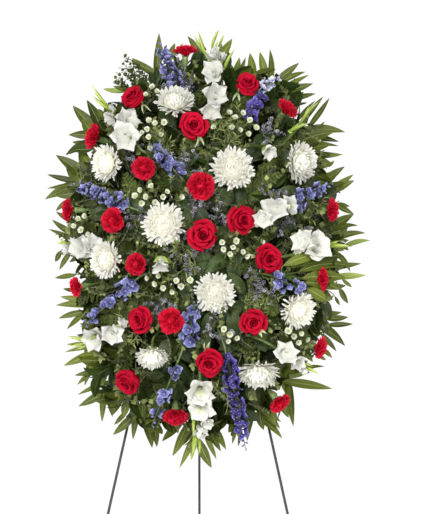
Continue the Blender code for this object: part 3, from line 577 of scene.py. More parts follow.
def petal_material(name, low, mid, high, edge=None, veins=22.0, tone=0.18, rough=0.5, sheen=0.0, share=0.25, place=(0.0, 0.45, 1.0), vein_depth=0.35, edge_width=0.10):
    n = Nodes(name)
    across, along, chance, _ = n.cell()
    wobble = n.noise(n.combine(n.math("MULTIPLY", across, 3.0), n.math("MULTIPLY", along, 2.0), n.math("MULTIPLY", chance, 9.0)), 1.6, 3.0)
    along2 = n.math("ADD", along, n.math("MULTIPLY", n.math("SUBTRACT", wobble, 0.5), 0.22))
    colour = n.ramp(along2, list(zip(place, (low, mid, high))))
    # long veins that fan out from the claw
    lines = n.noise(n.combine(n.math("MULTIPLY", n.math("SUBTRACT", across, 0.5), veins), n.math("MULTIPLY", along, 1.6), n.math("MULTIPLY", chance, 7.0)), 1.0, 2.0, 0.6)
    vein = n.span(lines, 0.35, 0.65, 1 - vein_depth * 0.5, 1 + vein_depth * 0.25)
    tint = n.math("MULTIPLY", n.span(chance, 0, 1, 1 - tone, 1 + tone * 0.5, False), n.span(n.shade(), 0, 1, 0.86, 1.12, False))
    bright = n.math("MULTIPLY", vein, tint)
    # a lighter rim along each petal's tip and sides: painted highlight, a painted sheen on the rose
    if edge is not None:
        rim = n.math("MAXIMUM", n.span(along, 1 - edge_width, 1.0), n.span(n.math("ABSOLUTE", n.math("SUBTRACT", across, 0.5)), 0.5 - edge_width * 0.6, 0.5))
        rim = n.math("MULTIPLY", rim, n.span(along, 0.3, 0.7))
        colour = n.mix(rim, colour, edge)
    grey = n.combine(bright, bright, bright)
    colour = n.mix(1.0, colour, grey, "MULTIPLY")
    n.set(Base_Color=colour, Roughness=n.span(wobble, 0.2, 0.8, rough - 0.06, rough + 0.08, False))
    n.shader.inputs["Specular IOR Level"].default_value = 0.12
    if sheen:
        n.shader.inputs["Sheen Weight"].default_value = sheen
        n.shader.inputs["Sheen Roughness"].default_value = 0.4
    n.bump(n.math("ADD", lines, n.math("MULTIPLY", wobble, 0.5)), 0.35, 0.0006)
    n.thin(colour, share)
    return n.material


def leaf_material(name, dark, light, rib, veins="long", rough=0.38, share=0.18, spots=0.25, rib_width=0.035, reach=(0.72, 1.25)):
    n = Nodes(name)
    across, along, chance, _ = n.cell()
    side = n.math("ABSOLUTE", n.math("SUBTRACT", across, 0.5))
    cloud = n.noise(n.combine(n.math("MULTIPLY", across, 2.0), n.math("MULTIPLY", along, 5.0), n.math("MULTIPLY", chance, 11.0)), 1.7, 3.0)
    mixed = n.math("ADD", n.math("MULTIPLY", cloud, 0.55), n.math("MULTIPLY", chance, 0.75))
    colour = n.mix(n.span(mixed, 0.25, 0.95), dark, light)
    if veins == "long":
        lines = n.noise(n.combine(n.math("MULTIPLY", across, 26.0), n.math("MULTIPLY", along, 0.8), n.math("MULTIPLY", chance, 5.0)), 1.0, 1.0)
    else:
        slant = n.math("ADD", n.math("MULTIPLY", along, 9.0), n.math("MULTIPLY", side, -7.0))
        lines = n.math("ABSOLUTE", n.math("SUBTRACT", n.math("FRACT", slant), 0.5))
        lines = n.math("MULTIPLY", lines, 1.6, clamp=True)
    colour = n.mix(n.span(lines, 0.3, 0.75, 0.0, spots), colour, light)
    colour = n.mix(n.span(side, rib_width, rib_width * 0.3, 0.0, 0.75), colour, rib)
    tone = n.math("MULTIPLY", n.span(n.shade(), 0, 1, *reach, False), n.span(along, 0.0, 0.25, 0.8, 1.0))
    colour = n.mix(1.0, colour, n.combine(tone, tone, tone), "MULTIPLY")
    n.set(Base_Color=colour, Roughness=n.span(cloud, 0.2, 0.8, rough - 0.08, rough + 0.12, False))
    n.shader.inputs["Specular IOR Level"].default_value = 0.20
    n.bump(n.math("SUBTRACT", lines, n.math("MULTIPLY", n.span(side, rib_width, 0.0), 2.0)), 0.4, 0.0006)
    n.thin(colour, share)
    return n.material


def stem_material(name, dark, light, rough=0.45):
    n = Nodes(name)
    across, along, chance, _ = n.cell()
    cloud = n.noise(n.combine(n.math("MULTIPLY", across, 2.0), n.math("MULTIPLY", along, 14.0), n.math("MULTIPLY", chance, 3.0)), 1.0, 3.0)
    streak = n.noise(n.combine(n.math("MULTIPLY", across, 14.0), n.math("MULTIPLY", along, 3.0), 0.0), 1.0, 2.0)
    colour = n.mix(n.span(cloud, 0.3, 0.7), dark, light)
    tone = n.math("MULTIPLY", n.span(n.shade(), 0, 1, 0.8, 1.2, False), n.span(streak, 0.3, 0.7, 0.88, 1.08))
    colour = n.mix(1.0, colour, n.combine(tone, tone, tone), "MULTIPLY")
    n.set(Base_Color=colour, Roughness=rough)
    n.bump(streak, 0.3, 0.0005)
    return n.material


# Rose: darker towards each petal's base, painted shade down between the petals, and a lighter rim, a painted sheen.
M_ROSE = petal_material("rose_petal", (0.34, 0.0006, 0.012), (0.415, 0.001, 0.019), (0.46, 0.0015, 0.024), edge=(0.50, 0.003, 0.032), veins=9, rough=0.70, share=0.36, edge_width=0.04, vein_depth=0.10, tone=0.14)
# Carnation: the pinkish rim on the frills is a painted highlight.
M_CARNATION = petal_material("carnation_petal", (0.40, 0.003, 0.015), (0.54, 0.003, 0.024), (0.60, 0.005, 0.032), edge=(0.74, 0.030, 0.07), veins=26, rough=0.66, share=0.38, edge_width=0.06, vein_depth=0.22)
M_MUM = petal_material("mum_petal", (0.83, 0.82, 0.69), (0.90, 0.89, 0.82), (0.925, 0.92, 0.87), veins=7, rough=0.55, share=0.50, place=(0.0, 0.30, 0.9), tone=0.05, vein_depth=0.07)
# The heart's petals: greener cream than the outer ones, and darker too, painted shade on the brightly lit heart.
M_MUM_HEART = petal_material("mum_heart_petal", (0.68, 0.68, 0.46), (0.80, 0.79, 0.67), (0.865, 0.855, 0.77), veins=7, rough=0.55, share=0.47, place=(0.0, 0.42, 0.95), tone=0.07, vein_depth=0.10)
M_GLAD = petal_material("gladiolus_tepal", (0.38, 0.46, 0.19), (0.585, 0.59, 0.51), (0.65, 0.645, 0.60), veins=14, rough=0.50, share=0.34, place=(0.0, 0.22, 0.80), tone=0.12, vein_depth=0.16)
M_GLAD_BUD = petal_material("gladiolus_bud", (0.20, 0.31, 0.035), (0.36, 0.46, 0.085), (0.50, 0.58, 0.19), veins=12, rough=0.48, share=0.22, tone=0.12)
# Delphiniums: the pale rim on each sepal is a painted highlight.
M_DELPH = petal_material("delphinium_sepal", (0.050, 0.048, 0.172), (0.122, 0.127, 0.315), (0.250, 0.264, 0.50), edge=(0.52, 0.54, 0.76), veins=10, rough=0.6, share=0.26, tone=0.85, edge_width=0.12)
M_DELPH_DARK = petal_material("delphinium_dark_sepal", (0.028, 0.020, 0.13), (0.062, 0.046, 0.24), (0.125, 0.100, 0.36), edge=(0.27, 0.25, 0.52), veins=10, rough=0.6, share=0.22, tone=0.75, edge_width=0.12)
M_DELPH_PALE = petal_material("delphinium_pale_sepal", (0.24, 0.25, 0.46), (0.50, 0.51, 0.68), (0.70, 0.71, 0.80), edge=(0.80, 0.80, 0.86), veins=10, rough=0.6, share=0.26, tone=0.4, edge_width=0.12)
M_DELPH_BUD = petal_material("delphinium_bud", (0.12, 0.16, 0.12), (0.15, 0.145, 0.34), (0.28, 0.27, 0.52), veins=8, rough=0.6, share=0.15, tone=0.35)
M_BEE = petal_material("delphinium_bee", (0.24, 0.22, 0.34), (0.46, 0.44, 0.60), (0.62, 0.60, 0.74), veins=8, share=0.2, tone=0.25)
M_ASTER = petal_material("aster_ray", (0.38, 0.44, 0.20), (0.57, 0.59, 0.45), (0.64, 0.64, 0.55), veins=6, share=0.3, tone=0.10, vein_depth=0.08)
M_ASTER_EYE = petal_material("aster_eye", (0.17, 0.20, 0.06), (0.30, 0.33, 0.12), (0.42, 0.43, 0.20), veins=60, rough=0.7, share=0.05, tone=0.25)
# Limonium: the pale rim on each calyx is a painted highlight, over a near-black base that is painted shade.
M_LIMONIUM = petal_material("limonium_calyx", (0.050, 0.055, 0.045), (0.140, 0.133, 0.165), (0.42, 0.405, 0.47), edge=(0.76, 0.74, 0.82), veins=8, rough=0.65, share=0.25, tone=0.9, edge_width=0.18)
M_SEPAL = petal_material("rose_sepal", (0.16, 0.22, 0.07), (0.32, 0.37, 0.19), (0.46, 0.47, 0.32), veins=10, share=0.2, tone=0.15)
M_STEM = stem_material("stem_green", (0.030, 0.055, 0.010), (0.085, 0.125, 0.028))
M_CALYX = stem_material("calyx_green", (0.065, 0.11, 0.028), (0.15, 0.21, 0.065))
M_TWIG = stem_material("twig_grey_green", (0.07, 0.085, 0.045), (0.17, 0.19, 0.11), 0.6)
# Palm leaflets: the midrib's own paler green, brightened further into a painted highlight.
M_PALM = leaf_material("palm_leaflet", (0.020, 0.034, 0.004), (0.106, 0.133, 0.017), (0.30, 0.335, 0.135), "long", rough=0.40, share=0.18, rib_width=0.045, reach=(0.62, 1.28))
M_PALM_YOUNG = leaf_material("palm_young_leaflet", (0.11, 0.16, 0.030), (0.26, 0.33, 0.075), (0.38, 0.44, 0.15), "long", rough=0.42, share=0.22)
M_FERN = leaf_material("fern_pinnule", (0.008, 0.017, 0.003), (0.080, 0.104, 0.020), (0.14, 0.18, 0.050), "side", rough=0.50, share=0.16, reach=(0.38, 1.42))
M_FINE = leaf_material("small_leaf", (0.012, 0.025, 0.004), (0.180, 0.204, 0.066), (0.33, 0.36, 0.17), "side", rough=0.42, share=0.18, reach=(0.26, 1.58))
M_BLADE = leaf_material("fine_blade", (0.10, 0.14, 0.030), (0.30, 0.36, 0.11), (0.42, 0.46, 0.20), "long", rough=0.45, share=0.22, reach=(0.6, 1.3))
# Broad leaves: near black, painted shade for the deep inside of the spray.
M_BROAD_PAINTED_SHADE = leaf_material("broad_leaf_painted_shade", (0.004, 0.010, 0.002), (0.027, 0.045, 0.008), (0.062, 0.092, 0.024), "side", rough=0.36, share=0.10)


def frame_material(name, colour, metallic, rough, kind):
    """Paint, plastic, foam and bare wire, from the piece's own coordinates."""
    n = Nodes(name)
    where = n.add("ShaderNodeTexCoord").outputs["Object"]
    big = n.noise(where, 24.0, 3.0)
    fine = n.noise(where, 420.0 if kind != "foam" else 260.0, 4.0, 0.65)
    if kind == "paint":
        chips = n.span(n.noise(where, 95.0, 5.0, 0.7), 0.70, 0.76)
        base = n.mix(n.span(big, 0.35, 0.65), colour, tuple(min(1.0, c * 1.9 + 0.004) for c in colour))
        base = n.mix(n.math("MULTIPLY", chips, 0.7), base, (0.055, 0.050, 0.045))
        n.set(Base_Color=base, Roughness=n.span(fine, 0.3, 0.7, rough - 0.06, rough + 0.12, False))
        n.bump(n.math("SUBTRACT", fine, n.math("MULTIPLY", chips, 0.8)), 0.25, 0.0003)
    elif kind == "plastic":
        base = n.mix(n.span(big, 0.3, 0.7), colour, tuple(min(1.0, c * 1.35) for c in colour))
        n.set(Base_Color=base, Roughness=n.span(fine, 0.3, 0.7, rough - 0.05, rough + 0.1, False))
        n.bump(fine, 0.2, 0.0003)
    elif kind == "foam":
        pores = n.add("ShaderNodeTexVoronoi")
        n.link(where, pores.inputs["Vector"])
        pores.inputs["Scale"].default_value = 520.0
        pit = n.span(pores.outputs["Distance"], 0.15, 0.6)
        base = n.mix(n.span(big, 0.3, 0.7), colour, tuple(c * 1.5 for c in colour))
        # darker in the pores: painted shade in the pits
        base = n.mix(n.math("MULTIPLY", n.math("SUBTRACT", 1.0, pit), 0.55), base, tuple(c * 0.35 for c in colour))
        n.set(Base_Color=base, Roughness=0.95)
        n.bump(n.math("ADD", pit, fine), 0.7, 0.0009)
    else:
        base = n.mix(n.span(big, 0.35, 0.65), colour, tuple(c * 0.72 for c in colour))
        n.set(Base_Color=base, Roughness=n.span(fine, 0.3, 0.7, rough - 0.05, rough + 0.15, False))
        n.bump(fine, 0.2, 0.0002)
    n.shader.inputs["Metallic"].default_value = metallic
    return n.material


PAINT = frame_material("easel_paint", (0.0055, 0.006, 0.006), 0.0, 0.42, "paint")
GREEN_PLASTIC = frame_material("holder_plastic", (0.010, 0.048, 0.021), 0.0, 0.42, "plastic")
FOAM = frame_material("wet_foam", (0.030, 0.115, 0.048), 0.0, 0.95, "foam")
PIN_STEEL = frame_material("pin_steel", (0.45, 0.46, 0.47), 1.0, 0.28, "wire")
GREEN_WIRE = frame_material("binding_wire", (0.045, 0.085, 0.040), 0.6, 0.38, "wire")
for node, material in (
    ("front_leg_left", PAINT), ("front_leg_right", PAINT), ("rear_leg", PAINT), ("crossbar_hanger", PAINT),
    ("pivot_pin", PIN_STEEL), ("cage_tray", GREEN_PLASTIC), ("cage_grid", GREEN_PLASTIC), ("foam_block", FOAM),
    ("binding_wire", GREEN_WIRE),
):
    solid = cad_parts[node]
    solid.data.materials.clear()
    solid.data.materials.append(material)


# low ribs moulded on the back of the holder's tray
def tray_line(points, m):
    t = np.linspace(0, 1, m)
    rows = np.array(points, float)
    at = np.linspace(0, 1, len(rows))
    return np.array([plane_point(np.interp(q, at, rows[:, 0]), np.interp(q, at, rows[:, 1]), RIB_F) for q in t])


RIB_F = 0.0136
b = Builder()
low_h, high_h = HOLD_TOP - HOLD_ROWS * HOLD_CELL + 0.004, HOLD_TOP - 0.004
for a0 in (-0.0525, -0.0180, 0.0180, 0.0525):
    b.tubes(tray_line(((a0, low_h), (a0, high_h)), 30)[None], 0.0015, 8, 1, 0)
for h in (low_h, high_h, *[HOLD_TOP - HOLD_CELL * k for k in range(1, HOLD_ROWS)], *[HOLD_TOP - HOLD_CELL * (k + 0.5) for k in range(HOLD_ROWS)]):
    b.tubes(tray_line(((-0.0540, h), (0.0540, h)), 14)[None], 0.0015 if abs((HOLD_TOP - h) / HOLD_CELL % 1 - 0.5) > 0.1 else 0.0009, 8, 1, 0)
b.make("tray_ribs_01", [GREEN_PLASTIC], 0.5, ROOT, None)


# ================================================================ one bloom at a time
def put(P, M, c):
    return P @ M.T + c


def through(points, v):
    """A smooth line through points (..., k, d) at v (...) from 0 to 1."""
    k = points.shape[-2]
    q = np.clip(v, 0, 1) * (k - 1)
    j = np.minimum(q.astype(int), k - 2)
    f = (q - j)[..., None]

    def at(index):
        index = np.clip(index, 0, k - 1)
        return np.take_along_axis(np.broadcast_to(points, (*index.shape, k, points.shape[-1])), index[..., None, None], -2)[..., 0, :]

    a, b_, c, d = at(j - 1), at(j), at(j + 1), at(j + 2)
    return 0.5 * (2 * b_ + (c - a) * f + (2 * a - 5 * b_ + 4 * c - d) * f ** 2 + (3 * b_ - a - 3 * c + d) * f ** 3)


def rose_head(b, R, M, c, rng):
    n, nu, nv = 15, 19, 15
    i = np.arange(n)
    lam = np.clip((i - 4) / (n - 5), 0, 1) ** 0.95
    core = i < 5
    theta = i * GOLDEN + rng.uniform(-0.12, 0.12, n)
    half = np.where(core, 1.9 - 0.16 * i, np.radians(66 - 8 * lam))
    rho = np.where(core, 0.060 + 0.048 * i, 0.32 + 0.70 * lam)
    top = np.where(core, 0.40 - 0.012 * i, 0.44 - 0.37 * lam ** 2.1)
    rho = rho * (1 + rng.uniform(-0.035, 0.035, n))
    top = top + np.where(core, 0, rng.uniform(-0.03, 0.03, n))
    flare = np.where(core, 0.03, 0.15 + 0.13 * lam)
    depth = np.where(core, 0.08, 0.16 + 0.03 * lam)
    points = np.stack((
        np.stack((0.05 + 0 * lam, -0.95 + 0 * lam), -1),
        np.stack((0.24 + 0.34 * lam, -0.84 + 0.02 * lam), -1),
        np.stack((np.minimum(rho + 0.10, 0.40 + 0.42 * lam), -0.45 + 0 * lam), -1),
        np.stack((np.minimum(rho + 0.06, rho - flare * 0.2 + 0.05), -0.10 - 0.12 * lam), -1),
        np.stack((rho - flare, top - depth), -1),
        np.stack((rho - 0.58 * flare, top - 0.42 * depth), -1),
        np.stack((rho, top), -1),
    ), 1)
    A = lambda x: np.asarray(x, float)[:, None, None]  # noqa: E731
    u = np.linspace(-1, 1, nu)[None, :, None]
    v = (np.linspace(0, 1, nv) ** 0.80)[None, None, :]
    vv = v * (1 - A(np.where(core, 0.09, 0.08 + 0.13 * lam)) * np.abs(u) ** 3)
    vv = np.broadcast_to(vv, (n, nu, nv))
    rz = through(points[:, None, None], vv)
    rr, zz = rz[..., 0], rz[..., 1]
    # one edge tucks in under the next petal, the other lies over it
    rr = rr * (1 + A(np.where(core, 0.22, 0.09 - 0.03 * lam)) * u * vv)
    # the rim curls back at both shoulders, and leaves a soft point between them
    shoulder = np.abs(u) ** 1.6 * vv ** 7
    rr = rr - A(np.where(core, 0.0, 0.035 + 0.085 * lam)) * shoulder
    zz = zz - A(np.where(core, 0.02, 0.03 + 0.08 * lam)) * shoulder
    lip = np.clip((vv - 0.90) / 0.10, 0, 1) ** 2
    zz = zz - A(np.where(core, 0.0, 0.02 + 0.06 * lam)) * lip
    rr = rr + A(np.where(core, 0.0, 0.010 + 0.015 * lam)) * lip
    phase = A(rng.uniform(0, 2 * PI, n))
    wave = np.sin(3.1 * u + phase) * 0.5 + np.sin(6.3 * u + 2.3 * phase) * 0.25
    rr = rr + A(0.012 + 0.045 * lam) * wave * vv ** 3
    zz = zz + A(0.012 + 0.045 * lam) * np.cos(3.7 * u + 1.4 * phase) * vv ** 4
    # a faint crease down the middle of the outer petals
    rr = rr + A(0.018 * lam) * np.exp(-((u / 0.12) ** 2)) * vv ** 2
    ww = 0.40 + 0.60 * np.sin(np.minimum(1, vv / 0.60) * PI / 2)
    ww = ww * (1 - 0.10 * np.clip((vv - 0.8) / 0.2, 0, 1) ** 2)
    th = A(theta) + u * A(half) * ww
    P = np.stack((rr * np.cos(th), rr * np.sin(th), zz), -1) * R
    squash = np.array((1 + rng.uniform(-0.04, 0.04), 1 + rng.uniform(-0.04, 0.04), 1.0))
    b.grid(put(P * squash, M, c), 4 + (i * 5) % 12, 0)
    # hip and sepals
    m = 7
    s = np.linspace(0, 1, m)
    hip_r = np.array((0.07, 0.10, 0.17, 0.21, 0.20, 0.15, 0.10)) * R
    hip = np.stack((0 * s, 0 * s, (-1.25 + 0.38 * s) * R), -1)[None]
    b.tubes(put(hip, M, c), hip_r[None], 8, 0, 1)
    k = np.arange(5)
    az = k * 2 * PI / 5 + rng.uniform(0, 1)
    out = np.stack((np.cos(az), np.sin(az), 0 * az), -1)
    base = out * 0.14 * R + np.array((0, 0, -0.92 * R))
    tip = out * (0.66 + 0.12 * rng.random(5))[:, None] * R + np.array((0, 0, -1)) * (1.00 + 0.25 * rng.random(5))[:, None] * R
    b.leaves(put(base, M, c), put(tip, M, c), (np.array((0, 0, 1.0)) + 0.3 * out) @ M.T, 0.11 * R, 1, 1, 0.25, 0.4, 3, 7, 0.6)


def carnation_head(b, R, M, c, rng):
    n, nu, nv = 42, 17, 7
    i = np.arange(n)
    s = (i + 0.5) / n
    alpha = np.radians(7 + 95 * s ** 0.76)
    az = i * GOLDEN + rng.uniform(-0.35, 0.35, n)
    size = 1 + rng.uniform(-0.15, 0.10, n)
    tip_r = np.sin(alpha) * 0.97 * size
    tip_z = (0.52 * np.cos(alpha) + 0.01) * size
    ctrl_r = np.stack((0.05 + 0 * s, 0.10 + 0.10 * np.sin(alpha), 0.20 + 0.50 * np.sin(alpha) ** 2, tip_r), 1)
    ctrl_z = np.stack((-0.62 + 0 * s, -0.28 + 0 * s, 0.10 + 0.16 * np.cos(alpha), tip_z), 1)
    u = np.linspace(-1, 1, nu)[None, :, None]
    v = np.linspace(0, 1, nv)[None, None, :]
    tooth = (np.arange(nu) % 2)[None, :, None] * rng.uniform(0.05, 0.15, (n, nu, 1)) * (v > 0.99)
    t = v * (1 - 0.13 * u ** 2) - tooth
    r = sum(bern(3, k, t) * ctrl_r[:, k][:, None, None] for k in range(4))
    z = sum(bern(3, k, t) * ctrl_z[:, k][:, None, None] for k in range(4))
    dr = sum(3 * bern(2, k, t) * (ctrl_r[:, k + 1] - ctrl_r[:, k])[:, None, None] for k in range(3))
    dz = sum(3 * bern(2, k, t) * (ctrl_z[:, k + 1] - ctrl_z[:, k])[:, None, None] for k in range(3))
    long = np.sqrt(dr ** 2 + dz ** 2) + 1e-9
    nr, nz = -dz / long, dr / long
    W = (0.27 + 0.25 * s)[:, None, None]
    half = W * (0.05 + v ** 1.4)
    phase = rng.uniform(0, 2 * PI, n)[:, None, None]
    waves = rng.uniform(4.5, 8.0, n)[:, None, None]
    strong = rng.uniform(0.75, 1.35, n)[:, None, None]
    lift = strong * ((0.105 * v ** 1.8) * np.sin(waves * u + phase) + 0.06 * v ** 2 * np.sin(2.3 * u + 2 * phase) + 0.030 * v ** 3 * np.sin(15 * u + 3 * phase))
    er = np.stack((np.cos(az), np.sin(az), 0 * az), -1)[:, None, None]
    es = np.stack((-np.sin(az), np.cos(az), 0 * az), -1)[:, None, None]
    ez = np.array((0, 0, 1.0))
    P = er * (r + nr * lift)[..., None] + ez * (z + nz * lift)[..., None] + es * (u * half)[..., None]
    b.grid(put(P * R, M, c), 4 + (i * 5) % 12, 0)
    heart = np.array(((0.16, -0.30), (0.40, -0.10), (0.42, 0.03), (0.34, 0.16), (0.22, 0.25), (0.10, 0.29), (0.02, 0.30)))
    line = np.stack((0 * heart[:, 0], 0 * heart[:, 0], heart[:, 1]), -1)[None] * R
    b.tubes(put(line, M, c), heart[None, :, 0] * R, 14, 0, 0)
    # calyx: a tube with five teeth
    m = 9
    t = np.linspace(0, 1, m)
    line = np.stack((0 * t, 0 * t, -1.50 + 1.02 * t), -1)[None] * R
    b.tubes(put(line, M, c), (0.10 + 0.17 * np.sin(t * 1.9) ** 0.8)[None] * R, 10, 0, 1)
    k = np.arange(5)
    a = k * 2 * PI / 5
    out = np.stack((np.cos(a), np.sin(a), 0 * a), -1)
    b.leaves(put(out * 0.25 * R + (0, 0, -0.55 * R), M, c), put(out * 0.46 * R + (0, 0, -0.28 * R), M, c), -(out @ M.T), 0.11 * R, 1, 1, 0.05, 0.2, 3, 5, 0.5)


MUM_RINGS = (
    # petals, reach, height, half width, curl up at the tip, how far the tip leans in over the heart
    (32, 1.00, -0.07, 0.050, -0.03, 0.0), (34, 0.97, 0.03, 0.054, 0.01, 0.0), (34, 0.92, 0.12, 0.058, 0.05, 0.0),
    (31, 0.84, 0.21, 0.062, 0.08, 0.03), (28, 0.74, 0.30, 0.062, 0.09, 0.08), (26, 0.62, 0.37, 0.059, 0.09, 0.14),
    (23, 0.50, 0.42, 0.053, 0.07, 0.22), (19, 0.38, 0.46, 0.050, 0.05, 0.32), (14, 0.27, 0.48, 0.048, 0.03, 0.45),
    (10, 0.17, 0.49, 0.046, 0.02, 0.65), (6, 0.09, 0.49, 0.044, 0.01, 0.90),
)


def mum_head(b, R, M, c, rng):
    v = np.array((0, 0.25, 0.48, 0.66, 0.80, 0.92, 1.0))
    wide = np.array((0.56, 0.75, 0.92, 1.00, 0.95, 0.68, 0.12))
    u = np.array((-1.0, -0.4, 0.4, 1.0))
    for ring, (count, reach, height, broad, curl, lean) in enumerate(MUM_RINGS):
        k = np.arange(count)
        loose = max(0.0, 1 - ring / 9)
        az = k * 2 * PI / count + ring * 1.7 + rng.normal(0, 0.060 + 0.04 * loose + 0.10 * (1 - loose), count)
        far = reach * (1 + rng.uniform(-0.17, 0.08, count) * (0.5 + 0.5 * loose))
        lean = lean * rng.uniform(0.55, 1.30, count)
        top = height + rng.normal(0, 0.034 + 0.02 * loose, count)
        base_r = 0.04 + 0.13 * reach
        lift = curl + rng.normal(0, 0.05, count) * loose
        ctrl_r = np.stack((base_r + 0 * far, base_r + 0.35 * far, 0.94 * far + 0.05 * (1 - loose), far * (1 - lean)), 1)
        ctrl_z = np.stack((-0.33 + 0 * far, -0.26 + 0.55 * top, top - 0.05 + 0.02 * loose - 0.5 * lift, top + lift), 1)
        t = v[None]
        r = sum(bern(3, q, t) * ctrl_r[:, q][:, None] for q in range(4))
        z = sum(bern(3, q, t) * ctrl_z[:, q][:, None] for q in range(4))
        dr = sum(3 * bern(2, q, t) * (ctrl_r[:, q + 1] - ctrl_r[:, q])[:, None] for q in range(3))
        dz = sum(3 * bern(2, q, t) * (ctrl_z[:, q + 1] - ctrl_z[:, q])[:, None] for q in range(3))
        long = np.sqrt(dr ** 2 + dz ** 2) + 1e-9
        nr, nz = -dz / long, dr / long
        half = ((0.98 + 0.24 * (1 - loose)) * broad * rng.uniform(0.88, 1.12, count))[:, None] * wide[None]
        cup = 0.34 * half[:, None] * (u ** 2)[None, :, None]
        bend = rng.normal(0, 0.070, count)[:, None] * loose * v[None] ** 2
        er = np.stack((np.cos(az), np.sin(az), 0 * az), -1)[:, None, None]
        es = np.stack((-np.sin(az), np.cos(az), 0 * az), -1)[:, None, None]
        ez = np.array((0, 0, 1.0))
        P = er * (r[:, None] + nr[:, None] * cup)[..., None] + ez * (z[:, None] + nz[:, None] * cup)[..., None] + es * (u[None, :, None] * half[:, None] + bend[:, None])[..., None]
        b.grid(put(P * R, M, c), 4 + rng.integers(0, 12, count), 1 if ring > 8 else 0, v=v)
    t = np.linspace(0, 1, 6)
    line = np.stack((0 * t, 0 * t, -0.66 + 0.38 * t), -1)[None] * R
    b.tubes(put(line, M, c), np.array((0.06, 0.10, 0.18, 0.24, 0.26, 0.20))[None] * R, 9, 0, 2)
    heart = np.array(((0.20, -0.24), (0.50, -0.12), (0.60, 0.00), (0.56, 0.12), (0.44, 0.25), (0.28, 0.35), (0.12, 0.40), (0.02, 0.41)))
    line = np.stack((0 * heart[:, 0], 0 * heart[:, 0], heart[:, 1]), -1)[None] * R
    b.tubes(put(line, M, c), heart[None, :, 0] * R, 18, 0, 1)


def trumpet(b, S, M, c, rng, mat=0, openness=1.0, tepals=6, hold=None):
    """One gladiolus floret: six ruffled tepals from a narrow throat, whose tube bends to the point hold. S is the open radius."""
    bend = np.zeros(3) if hold is None else hold - (c - 1.30 * S * M[:, 2])
    nu, nv = 13, 12
    k = np.arange(tepals)
    az = k * 2 * PI / tepals + rng.uniform(-0.12, 0.12, tepals) + 0.3
    inner = (k % 2).astype(float)
    u = np.linspace(-1, 1, nu)[None, :, None]
    v = np.linspace(0, 1, nv)[None, None, :]
    o = openness * (1 + rng.uniform(-0.18, 0.16, tepals))
    ctrl_r = np.stack((0.05 + 0 * o, 0.12 + 0.03 * inner, 0.62 * o + 0.02 * inner, 1.0 * o), 1)
    ctrl_z = np.stack((-1.30 + 0 * o, -0.55 + 0 * o, 0.02 + 0.30 * (1 - o), 0.10 - 0.16 * o + 0.75 * (1 - o)), 1)
    t = v * (1 - 0.10 * np.abs(u) ** 2)
    r = sum(bern(3, j, t) * ctrl_r[:, j][:, None, None] for j in range(4))
    z = sum(bern(3, j, t) * ctrl_z[:, j][:, None, None] for j in range(4))
    dr = sum(3 * bern(2, j, t) * (ctrl_r[:, j + 1] - ctrl_r[:, j])[:, None, None] for j in range(3))
    dz = sum(3 * bern(2, j, t) * (ctrl_z[:, j + 1] - ctrl_z[:, j])[:, None, None] for j in range(3))
    long = np.sqrt(dr ** 2 + dz ** 2) + 1e-9
    nr, nz = -dz / long, dr / long
    shape = np.clip(1 - np.abs(2 * (0.06 + 0.92 * v ** 1.05) - 1) ** 2.8, 0, 1) ** 0.58
    half = ((0.70 - 0.08 * inner) * (1 + rng.uniform(-0.16, 0.12, tepals)))[:, None, None] * (0.30 + 0.70 * v ** 0.8) * shape * (1 - 0.32 * np.clip((v - 0.58) / 0.42, 0, 1) ** 1.6) * (0.62 + 0.38 * openness)
    phase = rng.uniform(0, 2 * PI, tepals)[:, None, None]
    ruffle = np.abs(u) ** 1.5 * v ** 1.2 * np.sin(8.0 * v + 2.0 * u + phase)
    hood = rng.uniform(-0.16, 0.30, tepals)[:, None, None]
    lift = 0.42 * half * u ** 2 * (1.25 - v) + 0.150 * ruffle + 0.06 * np.sin(4 * u + phase) * v ** 3 + 0.035 * inner[:, None, None] + hood * v ** 2.5 - 0.07 * np.exp(-((u / 0.22) ** 2)) * v * (1.1 - v)
    er = np.stack((np.cos(az), np.sin(az), 0 * az), -1)[:, None, None]
    es = np.stack((-np.sin(az), np.cos(az), 0 * az), -1)[:, None, None]
    ez = np.array((0, 0, 1.0))
    P = er * (r + nr * lift)[..., None] + ez * (z + nz * lift)[..., None] + es * (u * half)[..., None]
    loose = 1 - np.clip(v / 0.60, 0, 1)[..., None] ** 2 * (3 - 2 * np.clip(v / 0.60, 0, 1)[..., None])
    b.grid(put(P * S, M, c) + bend * loose, 4 + rng.integers(0, 12, tepals), mat)
    # stamens and style
    a = np.array((0.2, 0.55, 0.9))
    e = np.stack((np.cos(a), np.sin(a), 0 * a), -1)
    q = np.linspace(0, 1, 5)[None, :, None]
    line = e[:, None] * (0.03 + 0.18 * q ** 1.5) + np.array((0, 0, 1.0)) * (-1.0 + 0.9 * q)
    b.tubes(put(line * S, M, c) + bend * (1 - np.minimum(1, q / 0.5)) * 0.8, np.array((0.016, 0.014, 0.012, 0.030, 0.014)) * S, 4, 2, mat)


def curve_between(a, b_, start, end, m=10, pull=0.38, ease=0.30):
    span = np.linalg.norm(b_ - a)
    control = np.stack((a, a + unit(start) * span * pull, b_ - unit(end) * min(span * ease, 0.030), b_))
    return bezier(control, np.linspace(0, 1, m))


def spike_frame(low, high, view=(0.0, -1.0, 0.15)):
    axis = unit(high - low)
    out = np.asarray(view, float) - (np.asarray(view, float) @ axis) * axis
    out = unit(out)
    return axis, out, np.cross(axis, out)


def bud(b, base, tip, radius, mat, cell=0, sides=7, m=7):
    t = np.linspace(0, 1, m)
    line = base[None] + (tip - base)[None] * t[:, None]
    b.tubes(line[None], (radius * np.sin(PI * (0.12 + 0.86 * t ** 0.9)) ** 0.8)[None], sides, cell, mat)


